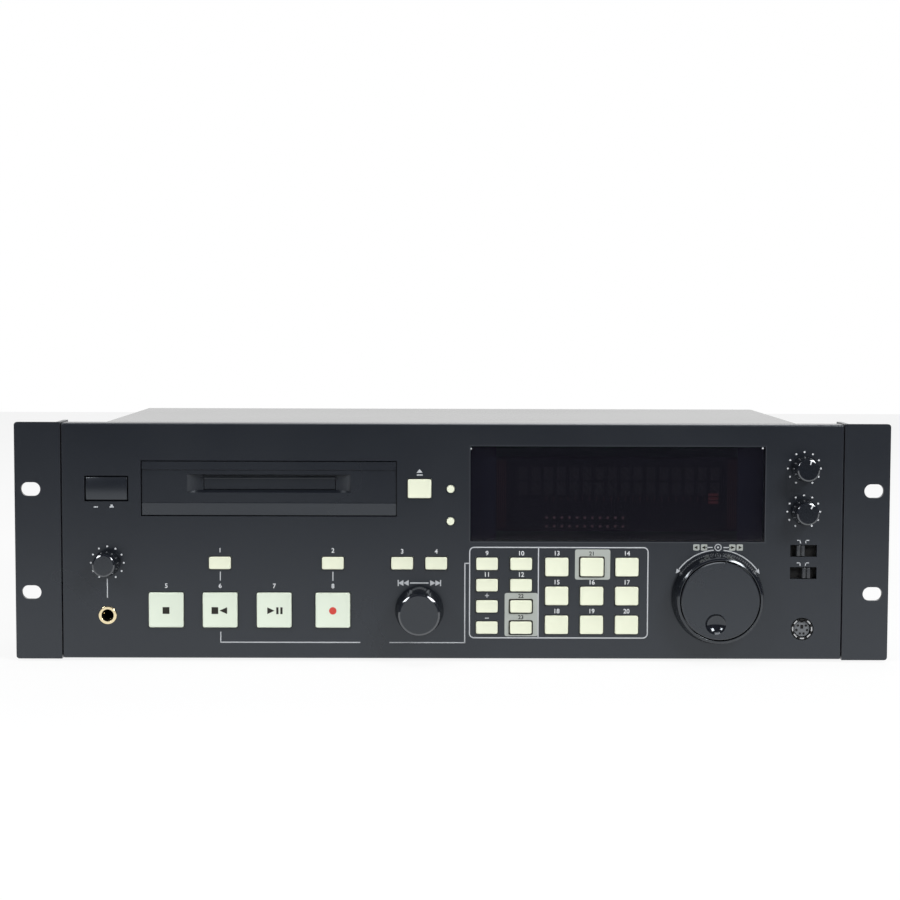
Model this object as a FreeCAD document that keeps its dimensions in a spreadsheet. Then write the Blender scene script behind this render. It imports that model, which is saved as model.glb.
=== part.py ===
import FreeCAD, Part
import os
import re
import Sketcher

# A rack-mounted minidisc deck. X is across, Y runs from the front panel to the back, Z is up.
# Every place below is given from the middle of the panel (x), from the panel's front face
# backwards (y) and from the bottom edge of the rack ears upwards (z), in millimetres.

SIZES = {
    # rack ears
    "ear_span": 482.6, "ear_height": 131.2, "ear_face": 25.3, "ear_sheet": 2.5, "ear_return": 24.0,
    "ear_corner": 1.7, "slot_inset": 8.75, "slot_up": 57.15, "slot_length": 10.8, "slot_height": 7.6,
    # front panel
    "seam": 0.4, "panel_end_gap": 0.45, "panel_wall": 3.0, "panel_rim": 12.0, "rim_wall": 2.5,
    "panel_corner": 1.0, "panel_edge": 1.0, "boss_radius": 3.0, "boss_inset": 9.0,
    # case
    "case_side_gap": 1.1, "case_depth": 296.0, "case_drop": 6.4, "case_floor": 5.0, "case_sheet": 1.2,
    "tray_side": 30.0, "fit_gap": 0.2, "case_front": 4.0, "fold_radius": 1.5,
    "foot_drop": 1.2, "foot_radius": 11.0, "foot_side": 42.0, "foot_end": 45.0, "foot_taper": 1.5,
    "knob_reach": 19.0, "rear_reach": 9.0,
    # screws
    "screw_head": 3.2, "screw_head_high": 2.0, "screw_shank": 1.5, "screw_long": 6.0, "screw_hole": 1.8,
    "screw_drive": 1.2, "side_screw_up": 16.0, "ear_screw_back": 8.0, "rear_screw_inset": 8.0,
    # display
    "window_x": 91.0, "window_z": 92.13, "window_width": 162.5, "window_height": 52.5,
    "window_sheet": 1.8, "window_sunk": 0.6, "window_gap": 0.15,
    "tube_width": 134.0, "tube_height": 41.3, "tube_deep": 6.0, "tube_back": 7.0, "tube_z": 91.5,
    # boards
    "board_back": 17.0, "board_sheet": 1.6, "board_side_gap": 5.1, "board_low": 8.0, "board_drop": 9.2,
    "board_notch_low": 76.0, "board_notch_extra": 8.0, "switch_size": 6.0, "switch_deep": 3.5,
    "main_board_x": 90.0, "main_board_width": 210.0, "main_board_front": 60.0, "main_board_deep": 200.0,
    "main_board_up": 14.0, "chip_size": 22.0, "chip_high": 3.0, "capacitor_radius": 6.0,
    "capacitor_high": 22.0, "standoff_radius": 3.0, "standoff_inset": 6.0,
    # keys, all with the same gap to the panel and the same collar behind it
    "key_gap": 0.35, "collar": 1.2, "collar_deep": 1.2, "key_corner": 0.8, "key_edge": 0.4,
    "stem": 3.0, "stop_gap": 0.4,
    "small_width": 12.0, "small_height": 6.8, "small_proud": 1.5, "small_travel": 1.0,
    "middle_width": 12.8, "middle_height": 10.2, "middle_proud": 1.5, "middle_travel": 1.0,
    "large_width": 19.1, "large_height": 19.3, "large_proud": 2.0, "large_travel": 1.5,
    "eject_width": 12.9, "eject_height": 10.4, "eject_proud": 1.5, "eject_travel": 1.0,
    "power_width": 22.6, "power_height": 12.6, "power_proud": 0.8, "power_travel": 4.0,
    "power_gap": 0.8, "power_hollow": 1.2, "power_hollow_radius": 30.0,
    "round_radius": 2.1, "round_proud": 1.2, "round_travel": 0.8,
    "power_inset": 24.8, "power_z": 94.6, "eject_x": -18.33, "eject_z": 95.0,
    "round_x": -1.2, "time_z": 94.85, "name_z": 76.98,
    "stop_x": -158.14, "standby_x": -128.4, "play_x": -98.54, "record_x": -66.1, "large_z": 27.45,
    "program_play_x": -27.85, "program_in_x": -9.04, "upper_small_z": 53.6,
    "grid_small_x": 19.02, "grid_small_step_x": 18.85, "grid_small_z": 53.4, "grid_small_step_z": 11.84,
    "grid_middle_x": 57.6, "grid_middle_step_x": 19.38, "grid_middle_z": 51.75, "grid_middle_step_z": 16.1,
    # turned controls
    "running_gap": 0.3, "shaft_radius": 3.0, "shaft_end": 14.0, "pot_size": 12.0, "pot_deep": 8.0,
    "level_base_radius": 7.25, "level_face_radius": 6.1, "level_reach": 13.5, "knob_lift": 0.8,
    "knob_chamfer": 0.6, "phones_inset": 25.0, "phones_level_z": 53.44, "input_inset": 21.8,
    "input_left_z": 106.65, "input_right_z": 82.72,
    "select_x": -18.28, "select_z": 27.6, "select_base_radius": 13.45, "select_face_radius": 11.3,
    "select_lift": 1.4, "select_wall": 4.5, "plunger_end": 12.0, "plunger_travel": 0.8,
    "jog_x": 146.7, "jog_z": 34.6, "ring_base_radius": 25.5, "ring_face_radius": 23.65,
    "ring_reach": 12.0, "ring_web": 2.2, "ring_hub_radius": 6.0, "ring_hub_end": 8.0,
    "dial_radius": 21.5, "dial_reach": 12.6, "dial_deep": 3.0, "dial_edge": 0.5, "encoder_size": 30.0,
    "dimple_ball": 7.5, "dimple_x": -2.5, "dimple_z": -12.7, "dimple_out": 4.82,
    # slide switches
    "slider_inset": 21.55, "slider_upper_z": 60.98, "slider_lower_z": 48.63, "slider_hole_width": 14.7,
    "slider_hole_height": 6.6, "lever_width": 4.4, "lever_height": 5.9, "lever_proud": 0.3,
    "slider_travel": 3.2, "slider_plate": 1.2, "slider_plate_height": 9.0, "slider_guide": 8.0,
    "lever_upper_shift": -1.6, "lever_lower_shift": 1.6,
    # sockets on the panel
    "jack_z": 24.33, "jack_radius": 3.175, "jack_ring_radius": 5.0, "jack_ring_proud": 1.0,
    "jack_ring_wall": 1.35,
    "jack_barrel_radius": 4.5, "jack_body": 14.0, "jack_deep": 28.0, "jack_bore_deep": 26.0,
    "keyboard_inset": 21.7, "keyboard_z": 17.39, "keyboard_hole": 6.3, "keyboard_shell": 5.9,
    "keyboard_shell_wall": 0.55, "keyboard_core": 4.8, "keyboard_core_sunk": 1.4,
    "keyboard_body": 13.5, "keyboard_pin": 0.5, "keyboard_pin_circle": 3.2, "keyboard_pin_deep": 6.0,
    # disc slot
    "slot_x": -101.3, "bezel_width": 139.9, "bezel_low": 80.0, "bezel_height": 29.6, "bezel_gap": 0.6,
    "bezel_deep": 9.0, "bezel_sunk": 1.0, "bezel_lip": 0.3, "bezel_low_back": 0.9, "bezel_step": 0.35,
    "bezel_low_band": 6.6, "bezel_high_band": 4.4,
    "bezel_flange": 3.0, "bezel_flange_deep": 2.0, "funnel_width": 90.4, "funnel_z": 97.5,
    "funnel_height": 10.1, "funnel_taper": 1.2, "funnel_floor": 4.8, "mouth_width": 73.0, "mouth_low": 93.7,
    "mouth_high": 101.4, "door_gap": 0.35, "door_sheet": 1.2, "door_front": 5.1, "door_pin_radius": 0.7,
    "door_pin_long": 2.0, "door_pin_drop": 0.9,
    # drive
    "holder_front": 16.0, "holder_deep": 70.0, "holder_width": 72.8, "holder_low": 94.2,
    "holder_high": 100.4,
    "holder_sheet": 0.8, "holder_travel": 5.0, "holder_window_width": 40.0, "holder_window_front": 42.0,
    "holder_window_deep": 41.0, "holder_pin_radius": 1.0, "holder_pin_long": 1.6, "holder_pin_inset": 14.0,
    "frame_floor": 80.0, "frame_sheet": 1.2, "frame_front": 20.0, "frame_deep": 100.0, "frame_high": 104.0,
    "frame_side_gap": 0.8, "leg_size": 8.0, "disc_back": 51.0, "motor_radius": 6.0, "motor_high": 5.8,
    "turntable_radius": 5.5, "turntable_low": 87.6, "turntable_high": 1.4, "spigot_radius": 2.2,
    "spigot_high": 1.6, "spindle_radius": 1.0, "spindle_low": 82.6, "rail_radius": 1.25, "rail_spread": 14.0,
    "rail_up": 85.0, "rail_long": 50.0, "rail_block": 5.0, "pickup_width": 34.0, "pickup_deep": 16.0,
    "pickup_low": 82.6, "pickup_high": 4.8, "pickup_back": 15.0, "lens_radius": 2.5,
    "lens_high": 0.4,
    # power supply and back
    "core_x": -165.0, "core_front": 190.0, "core_width": 66.0, "core_deep": 40.0, "core_high": 56.0,
    "bobbin_width": 40.0, "bobbin_out": 9.0, "bobbin_high": 34.0,
    "phono_x": 60.0, "phono_step": 28.0, "phono_z": 40.0, "phono_radius": 4.15, "phono_flange": 6.5,
    "phono_hole": 1.6, "phono_neck": 8.0,
    "line_x": 66.0, "line_step": 36.0, "line_z": 88.0, "line_radius": 11.5,
    "line_plate_width": 26.0, "line_plate_height": 31.0, "line_plate": 2.5, "line_deep": 24.0,
    "line_pin": 1.4, "line_pin_circle": 3.5,
    "port_x": -60.0, "port_step": 50.0, "port_z": 60.0, "port_width": 25.0, "port_height": 9.0,
    "port_out": 6.0,
    "port_plate_width": 39.0, "port_plate_height": 12.5, "port_plate": 1.0, "port_deep": 10.0,
    "inlet_x": -168.0, "inlet_z": 72.0, "inlet_width": 27.0, "inlet_height": 19.5, "inlet_wall": 1.6,
    "inlet_flange": 3.0, "inlet_flange_sheet": 2.0, "inlet_deep": 22.0, "inlet_cup": 16.0,
    "blade_wide": 2.0, "blade_high": 4.0, "blade_step": 7.0, "blade_drop": 2.0, "blade_end": 3.0,
}

doc = FreeCAD.newDocument("minidisc_deck")
sheet = doc.addObject("Spreadsheet::Sheet", "dims")
for row, (alias, size) in enumerate(SIZES.items(), start=1):
    sheet.set(f"A{row}", alias)
    sheet.set(f"B{row}", str(size))
    sheet.setAlias(f"B{row}", alias)
doc.recompute()

FACE = "(knob_reach - case_depth - rear_reach) / 2"
PANEL_WIDTH = "(ear_span - 2 * ear_face - 2 * seam)"
PANEL_HEIGHT = "(ear_height - 2 * panel_end_gap)"
BOARD_WIDTH = f"({PANEL_WIDTH} - 2 * rim_wall - 2 * board_side_gap)"
BOARD_TOP = "(ear_height - board_drop)"
CASE_WIDTH = f"({PANEL_WIDTH} - 2 * rim_wall - 2 * case_side_gap)"
CASE_TOP = "(ear_height - case_drop)"
POWER_X = f"(power_inset - {PANEL_WIDTH} / 2)"
PHONES_X = f"(phones_inset - {PANEL_WIDTH} / 2)"
INPUT_X = f"({PANEL_WIDTH} / 2 - input_inset)"
SLIDER_X = f"({PANEL_WIDTH} / 2 - slider_inset)"
KEYBOARD_X = f"({PANEL_WIDTH} / 2 - keyboard_inset)"
MIDDLE = "ear_height / 2"
SWITCH_FRONT = "(board_back - switch_deep)"
SHAFT_HOLE = "(shaft_radius + running_gap)"

nodes = []


def bound(text):
    """Put the sheet's name in front of each size named in an expression."""
    return re.sub(r"[a-z][a-z_0-9]*", lambda word: "dims." + word.group(), text)


def value(text):
    return float(sheet.evalExpression(bound(text)))


def bind(thing, **sizes):
    for name, text in sizes.items():
        thing.setExpression(name, bound(text))


def place(thing, x="0", y="0", z="0"):
    """Put an object's own origin at a place given from the panel's face and the ears' bottom."""
    thing.setExpression("Placement.Base.x", bound(x))
    thing.setExpression("Placement.Base.y", bound(f"{FACE} + ({y})"))
    thing.setExpression("Placement.Base.z", bound(f"foot_drop + ({z})"))


def node(thing, label):
    thing.Label = label
    nodes.append(thing)
    return thing


# Plain solids. x and z are the middle, y is the front.

def block(name, x, y, z, across, deep, tall):
    thing = doc.addObject("Part::Box", name)
    bind(thing, Length=across, Width=deep, Height=tall)
    place(thing, f"{x} - ({across}) / 2", y, f"{z} - ({tall}) / 2")
    return thing


def rod(name, x, y, z, radius, deep, along="y"):
    """A cylinder along Y, or along X or Z from its low end."""
    turns = {"y": ((1, 0, 0), -90), "x": ((0, 1, 0), 90), "z": ((0, 0, 1), 0)}
    axis, angle = turns[along]
    thing = doc.addObject("Part::Cylinder", name)
    thing.Placement = FreeCAD.Placement(FreeCAD.Vector(), FreeCAD.Rotation(FreeCAD.Vector(*axis), angle))
    bind(thing, Radius=radius, Height=deep)
    place(thing, x, y, z)
    return thing


def group(name, things):
    thing = doc.addObject("Part::Compound", name)
    thing.Links = things
    return thing


def fuse(name, things):
    thing = doc.addObject("Part::MultiFuse", name)
    thing.Shapes = things
    return thing


def cut(name, base, tools):
    thing = doc.addObject("Part::Cut", name)
    thing.Base = base
    thing.Tool = tools[0] if len(tools) == 1 else group(name + "_tools", tools)
    return thing


# Sketched solids. A body is drawn about its own origin and then placed.

def sketch_on(body, role, name, points):
    """A closed outline whose corners are pairs of expressions, on one of the body's own planes."""
    sketch = body.newObject("Sketcher::SketchObject", name)
    plane = [item for item in body.Origin.OriginFeatures if item.Role == role][0]
    sketch.AttachmentSupport = [(plane, "")]
    sketch.MapMode = "FlatFace"
    spots = [FreeCAD.Vector(value(across), value(up), 0) for across, up in points]
    count = len(spots)
    for index in range(count):
        sketch.addGeometry(Part.LineSegment(spots[index], spots[(index + 1) % count]), False)
    for index in range(count):
        sketch.addConstraint(Sketcher.Constraint("Coincident", index, 2, (index + 1) % count, 1))
    for index, corner in enumerate(points):
        for kind, axis, text in (("DistanceX", -2, corner[0]), ("DistanceY", -1, corner[1])):
            if text == "0":
                sketch.addConstraint(Sketcher.Constraint("PointOnObject", index, 1, axis))
                continue
            size = value(text)
            number = sketch.addConstraint(Sketcher.Constraint(kind, -1, 1, index, 1, size))
            name_of_size = f"{'across' if kind == 'DistanceX' else 'up'}_{index}"
            sketch.renameConstraint(number, name_of_size)
            sketch.setExpression(f"Constraints.{name_of_size}", bound(text))
    return sketch


def rectangle(across, tall):
    left, right = f"-({across}) / 2", f"({across}) / 2"
    low, high = f"-({tall}) / 2", f"({tall}) / 2"
    return [(left, low), (right, low), (right, high), (left, high)]


def new_body(name):
    return doc.addObject("PartDesign::Body", name)


def pad(body, name, points, front, deep):
    """Extrude an XZ outline backwards, from a given distance behind the body's origin."""
    sketch = sketch_on(body, "XZ_Plane", name + "_outline", points)
    sketch.setExpression("AttachmentOffset.Base.z", bound(f"-({front})"))
    feature = body.newObject("PartDesign::Pad", name)
    feature.Profile = sketch
    feature.Reversed = True
    bind(feature, Length=deep)
    body.Tip = feature
    return feature


def turned(body, name, points):
    """Turn an outline of radius and depth pairs round the body's own Y axis."""
    sketch = sketch_on(body, "XY_Plane", name + "_outline", points)
    feature = body.newObject("PartDesign::Revolution", name)
    feature.Profile = sketch
    feature.ReferenceAxis = (sketch, ["V_Axis"])
    feature.Angle = 360.0
    body.Tip = feature
    return feature


def dressed(body, kind, name, radius, wanted):
    """Round or bevel those edges of the body's last feature that pass the test."""
    doc.recompute()
    last = body.Tip
    picked = [f"Edge{number}" for number, edge in enumerate(last.Shape.Edges, start=1) if wanted(edge)]
    feature = body.newObject(f"PartDesign::{kind}", name)
    feature.Base = (last, picked)
    feature.setExpression("Radius" if kind == "Fillet" else "Size", bound(radius))
    body.Tip = feature
    return feature


def runs_back(edge):
    """True for a straight edge along Y."""
    ends = [vertex.Point for vertex in edge.Vertexes]
    if len(ends) < 2:
        return False
    step = ends[1] - ends[0]
    return abs(step.x) + abs(step.z) < 1e-6 and abs(step.y) > 1e-6


def lies_at(depth):
    """A test for edges that lie wholly in the plane at this depth behind the body's origin."""
    def test(edge):
        box = edge.BoundBox
        return abs(box.YMin - depth) < 1e-5 and abs(box.YMax - depth) < 1e-5
    return test


# Front panel: a moulded tray with one hole for each control.

panel_holes = []


def panel_hole(name, x, z, across, tall):
    panel_holes.append(block(name + "_hole", x, "-1", z, across, "panel_wall + 2", tall))


def panel_bore(name, x, z, radius):
    panel_holes.append(rod(name + "_hole", x, "-1", z, radius, "panel_wall + 2"))


def front_panel():
    body = new_body("panel_tray")
    pad(body, "tray", rectangle(PANEL_WIDTH, PANEL_HEIGHT), "0", "panel_rim")
    dressed(body, "Fillet", "corners", "panel_corner", runs_back)
    dressed(body, "Fillet", "front_edges", "panel_edge", lies_at(0.0))
    inside = rectangle(f"{PANEL_WIDTH} - 2 * rim_wall", f"{PANEL_HEIGHT} - 2 * rim_wall")
    sketch = sketch_on(body, "XZ_Plane", "inside_outline", inside)
    sketch.setExpression("AttachmentOffset.Base.z", bound("-panel_rim"))
    hollow = body.newObject("PartDesign::Pocket", "inside")
    hollow.Profile = sketch
    hollow.Reversed = True
    bind(hollow, Length="panel_rim - panel_wall")
    body.Tip = hollow
    place(body, "0", "0", MIDDLE)
    bosses = []
    for side in ("-1", "1"):
        for name, z in (("low", "board_low + 4"), ("high", f"{BOARD_TOP} - 4")):
            x = f"{side} * ({PANEL_WIDTH} / 2 - rim_wall - boss_inset)"
            bosses.append(rod(f"boss_{name}", x, "panel_wall - 0.5", z, "boss_radius",
                              "board_back - panel_wall + 0.5"))
    tray = fuse("panel_with_bosses", [body] + bosses)
    for side in ("-1", "1"):
        for level in ("0.25", "0.75"):
            start = f"{side} * ({PANEL_WIDTH} / 2 - rim_wall / 2) - rim_wall"
            panel_holes.append(rod("ear_screw_hole", start, "ear_screw_back", f"ear_height * {level}",
                                   "screw_hole", "2 * rim_wall", "x"))
    node(cut("front_panel_cut", tray, panel_holes), "front_panel")


# Push buttons: a cap through the panel, a collar behind it and a stem to the switch on the board.

switch_blocks = []


def switch_behind(name, x, z):
    switch_blocks.append(block(name + "_switch", x, SWITCH_FRONT, z, "switch_size",
                               "switch_deep + board_sheet / 2", "switch_size"))


def key_body(name, kind, x, z):
    wide, tall, proud = f"{kind}_width", f"{kind}_height", f"{kind}_proud"
    back = "panel_wall + running_gap"
    body = new_body(name + "_body")
    pad(body, "cap", rectangle(wide, tall), f"-{proud}", f"{proud} + {back} + collar_deep / 2")
    dressed(body, "Fillet", "corners", "key_corner", runs_back)
    dressed(body, "Fillet", "edges", "key_edge", lies_at(-value(proud)))
    pad(body, "collar", rectangle(f"{wide} + 2 * collar", f"{tall} + 2 * collar"), back, "collar_deep")
    stem_back = f"{SWITCH_FRONT} - {kind}_travel - stop_gap"
    pad(body, "stem", rectangle("stem", "stem"), back, f"{stem_back} - ({back})")
    place(body, x, "0", z)
    gap = "power_gap" if kind == "power" else "key_gap"
    panel_hole(name, x, z, f"{wide} + 2 * {gap}", f"{tall} + 2 * {gap}")
    switch_behind(name, x, z)
    return body


def key(name, kind, x, z):
    node(key_body(name, kind, x, z), name)


def power_key():
    body = key_body("power_button", "power", POWER_X, "power_z")
    hollow = rod("power_button_hollow", f"{POWER_X} - power_width",
                 "-power_proud + power_hollow - power_hollow_radius", "power_z",
                 "power_hollow_radius", "2 * power_width", "x")
    node(cut("power_button_cut", body, [hollow]), "power_button")


def round_key(name, x, z):
    body = new_body(name + "_body")
    back = "panel_wall + running_gap"
    end = f"{SWITCH_FRONT} - round_travel - stop_gap"
    turned(body, "button", [
        ("0", "-round_proud"), ("round_radius - key_edge", "-round_proud"),
        ("round_radius", "-round_proud + key_edge"), ("round_radius", back),
        ("round_radius + collar", back), ("round_radius + collar", f"{back} + collar_deep"),
        ("stem / 2", f"{back} + collar_deep"), ("stem / 2", end), ("0", end)])
    place(body, x, "0", z)
    panel_bore(name, x, z, "round_radius + key_gap")
    switch_behind(name, x, z)
    node(body, name)


def push_buttons():
    power_key()
    key("eject_button", "eject", "eject_x", "eject_z")
    round_key("time_button", "round_x", "time_z")
    round_key("name_button", "round_x", "name_z")
    key("cue_search_button", "small", "standby_x", "upper_small_z")
    key("level_start_button", "small", "record_x", "upper_small_z")
    key("program_play_button", "small", "program_play_x", "upper_small_z")
    key("program_in_button", "small", "program_in_x", "upper_small_z")
    for name, x in (("stop", "stop_x"), ("standby_cue", "standby_x"), ("play_pause", "play_x"),
                    ("record", "record_x")):
        key(name + "_button", "large", x, "large_z")
    small_grid = (("play_mode", "end_monitor"), ("pitch", "repeat"), ("plus", "preset_a"),
                  ("minus", "preset_b"))
    for row, names in enumerate(small_grid):
        for column, name in enumerate(names):
            key(name + "_button", "small", f"grid_small_x + {column} * grid_small_step_x",
                f"grid_small_z - {row} * grid_small_step_z")
    middle_grid = (("move", "erase", "edit"), ("combine", "divide", "toc_write"),
                   ("insert", "cue_write", "title"))
    for row, names in enumerate(middle_grid):
        for column, name in enumerate(names):
            key(name + "_button", "middle", f"grid_middle_x + {column} * grid_middle_step_x",
                f"grid_middle_z - {row} * grid_middle_step_z")


# Turned controls, each on its shaft in a control on the board.

control_blocks = []


def control_behind(name, x, z, size, end):
    body = block(name + "_control", x, "board_back - pot_deep", z, size,
                 "pot_deep + board_sheet / 2", size)
    bore = rod(name + "_bore", x, "board_back - pot_deep - 1", z, SHAFT_HOLE,
               f"{end} + running_gap - board_back + pot_deep + 1")
    control_blocks.append(cut(name + "_control_cut", body, [bore]))


def level_knob(name, x, z):
    body = new_body(name + "_body")
    turned(body, "knob", [
        ("0", "-level_reach"), ("level_face_radius - knob_chamfer", "-level_reach"),
        ("level_face_radius", "-level_reach + knob_chamfer"), ("level_base_radius", "-knob_lift"),
        ("shaft_radius", "-knob_lift"), ("shaft_radius", "shaft_end"), ("0", "shaft_end")])
    place(body, x, "0", z)
    panel_bore(name, x, z, SHAFT_HOLE)
    control_behind(name, x, z, "pot_size", "shaft_end")
    node(body, name)


def select_control():
    knob = new_body("select_knob_body")
    bore_end = "-knob_reach + select_wall"
    turned(knob, "knob", [
        ("0", "-knob_reach"), ("select_face_radius - knob_chamfer", "-knob_reach"),
        ("select_face_radius", "-knob_reach + knob_chamfer"), ("select_base_radius", "-select_lift"),
        (SHAFT_HOLE, "-select_lift"), (SHAFT_HOLE, bore_end), ("0", bore_end)])
    place(knob, "select_x", "0", "select_z")
    node(knob, "select_knob")
    plunger = new_body("select_plunger_body")
    tip = f"{bore_end} + running_gap"
    turned(plunger, "plunger", [
        ("0", tip), ("shaft_radius", tip), ("shaft_radius", "plunger_end"), ("0", "plunger_end")])
    place(plunger, "select_x", "0", "select_z")
    node(plunger, "select_plunger")
    panel_bore("select", "select_x", "select_z", SHAFT_HOLE)
    control_behind("select", "select_x", "select_z", "pot_size", "plunger_end + plunger_travel")


def jog_control():
    ring = new_body("shuttle_ring_body")
    web = "-knob_lift - ring_web"
    well = "dial_radius + running_gap"
    turned(ring, "ring", [
        (well, "-ring_reach"), ("ring_face_radius - knob_chamfer", "-ring_reach"),
        ("ring_face_radius", "-ring_reach + knob_chamfer"), ("ring_base_radius", "-knob_lift"),
        ("ring_hub_radius", "-knob_lift"), ("ring_hub_radius", "ring_hub_end"),
        (SHAFT_HOLE, "ring_hub_end"), (SHAFT_HOLE, web), (well, web)])
    place(ring, "jog_x", "0", "jog_z")
    node(ring, "shuttle_ring")
    dial = new_body("jog_dial_body")
    turned(dial, "dial", [
        ("0", "-dial_reach"), ("dial_radius - dial_edge", "-dial_reach"),
        ("dial_radius", "-dial_reach + dial_edge"), ("dial_radius", "-dial_reach + dial_deep"),
        ("shaft_radius", "-dial_reach + dial_deep"), ("shaft_radius", "shaft_end"), ("0", "shaft_end")])
    place(dial, "jog_x", "0", "jog_z")
    ball = doc.addObject("Part::Sphere", "finger_dimple")
    bind(ball, Radius="dimple_ball")
    place(ball, "jog_x + dimple_x", "-dial_reach - dimple_out", "jog_z + dimple_z")
    node(cut("jog_dial_cut", dial, [ball]), "jog_dial")
    panel_bore("jog", "jog_x", "jog_z", "ring_hub_radius + running_gap")
    control_behind("jog", "jog_x", "jog_z", "encoder_size", "shaft_end")


def slide_switch(name, z, shift):
    """A lever on a plate that slides behind its hole and keeps it covered."""
    body = new_body(name + "_body")
    back = "panel_wall + running_gap"
    pad(body, "lever", rectangle("lever_width", "lever_height"), "-lever_proud",
        f"lever_proud + {back} + slider_plate / 2")
    dressed(body, "Fillet", "edges", "key_edge", lies_at(-value("lever_proud")))
    pad(body, "plate", rectangle("slider_hole_width + 2 * slider_travel", "slider_plate_height"), back,
        "slider_plate")
    place(body, f"{SLIDER_X} + {shift}", "0", z)
    panel_hole(name, SLIDER_X, z, "slider_hole_width", "slider_hole_height")
    switch_blocks.append(block(name + "_guide", SLIDER_X, f"{back} + slider_plate + running_gap", z,
                               "slider_guide",
                               f"board_back + board_sheet / 2 - ({back} + slider_plate + running_gap)",
                               "slider_guide"))
    node(body, name)


# Sockets on the panel.

def phones_jack():
    ring = rod("jack_ring", PHONES_X, "-jack_ring_proud", "jack_z", "jack_ring_radius", "jack_ring_proud")
    barrel = rod("jack_barrel", PHONES_X, "-jack_ring_proud / 2", "jack_z", "jack_barrel_radius",
                 "panel_wall + jack_ring_proud")
    body = block("jack_body", PHONES_X, "panel_wall", "jack_z", "jack_body", "jack_deep - panel_wall",
                 "jack_body")
    bore = rod("jack_bore", PHONES_X, "-2 * jack_ring_proud", "jack_z", "jack_radius",
               "jack_bore_deep + 2 * jack_ring_proud")
    mouth = rod("jack_mouth", PHONES_X, "-2 * jack_ring_proud", "jack_z",
                "jack_ring_radius - jack_ring_wall", "3 * jack_ring_proud")
    node(cut("jack_cut", fuse("jack_whole", [ring, barrel, body]), [bore, mouth]), "phones_jack")
    panel_bore("phones_jack", PHONES_X, "jack_z", "jack_barrel_radius + fit_gap")


def keyboard_socket():
    x, z = KEYBOARD_X, "keyboard_z"
    shell = rod("keyboard_shell", x, "0", z, "keyboard_shell", "board_back - 2")
    hollow = rod("keyboard_hollow", x, "-1", z, "keyboard_shell - keyboard_shell_wall", "panel_wall + 4")
    core = rod("keyboard_core", x, "keyboard_core_sunk", z, "keyboard_core", "board_back - 4")
    body = block("keyboard_body", x, "panel_wall + 2", z, "keyboard_body", "board_back - panel_wall - 2",
                 "keyboard_body")
    whole = fuse("keyboard_whole", [cut("keyboard_shell_cut", shell, [hollow]), body, core])
    pins = []
    for across, up in ((-1, -0.25), (-0.75, 0.6), (-0.35, -0.9), (0.35, -0.9), (0.75, 0.6), (1, -0.25)):
        pins.append(rod("keyboard_pin", f"{x} + {across} * keyboard_pin_circle", "0",
                        f"{z} + {up} * keyboard_pin_circle", "keyboard_pin", "keyboard_pin_deep"))
    pins.append(block("keyboard_keyway", x, "0", f"{z} + keyboard_pin_circle / 3", "3 * keyboard_pin",
                      "keyboard_pin_deep", "4 * keyboard_pin"))
    node(cut("keyboard_cut", whole, pins), "keyboard_socket")
    panel_bore("keyboard_socket", x, z, "keyboard_hole")


# Disc slot: a moulded insert with a tapered mouth, and a flap on two pins that swings inwards.

BEZEL_TOP = "(bezel_low + bezel_height)"
BEZEL_Z = "(bezel_low + bezel_height / 2)"
DOOR_WIDTH = "(mouth_width - 2 * door_gap)"
DOOR_PIN_Z = "(mouth_high - door_gap - door_pin_drop)"
DOOR_PIN_Y = "(door_front + door_sheet / 2)"


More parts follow.
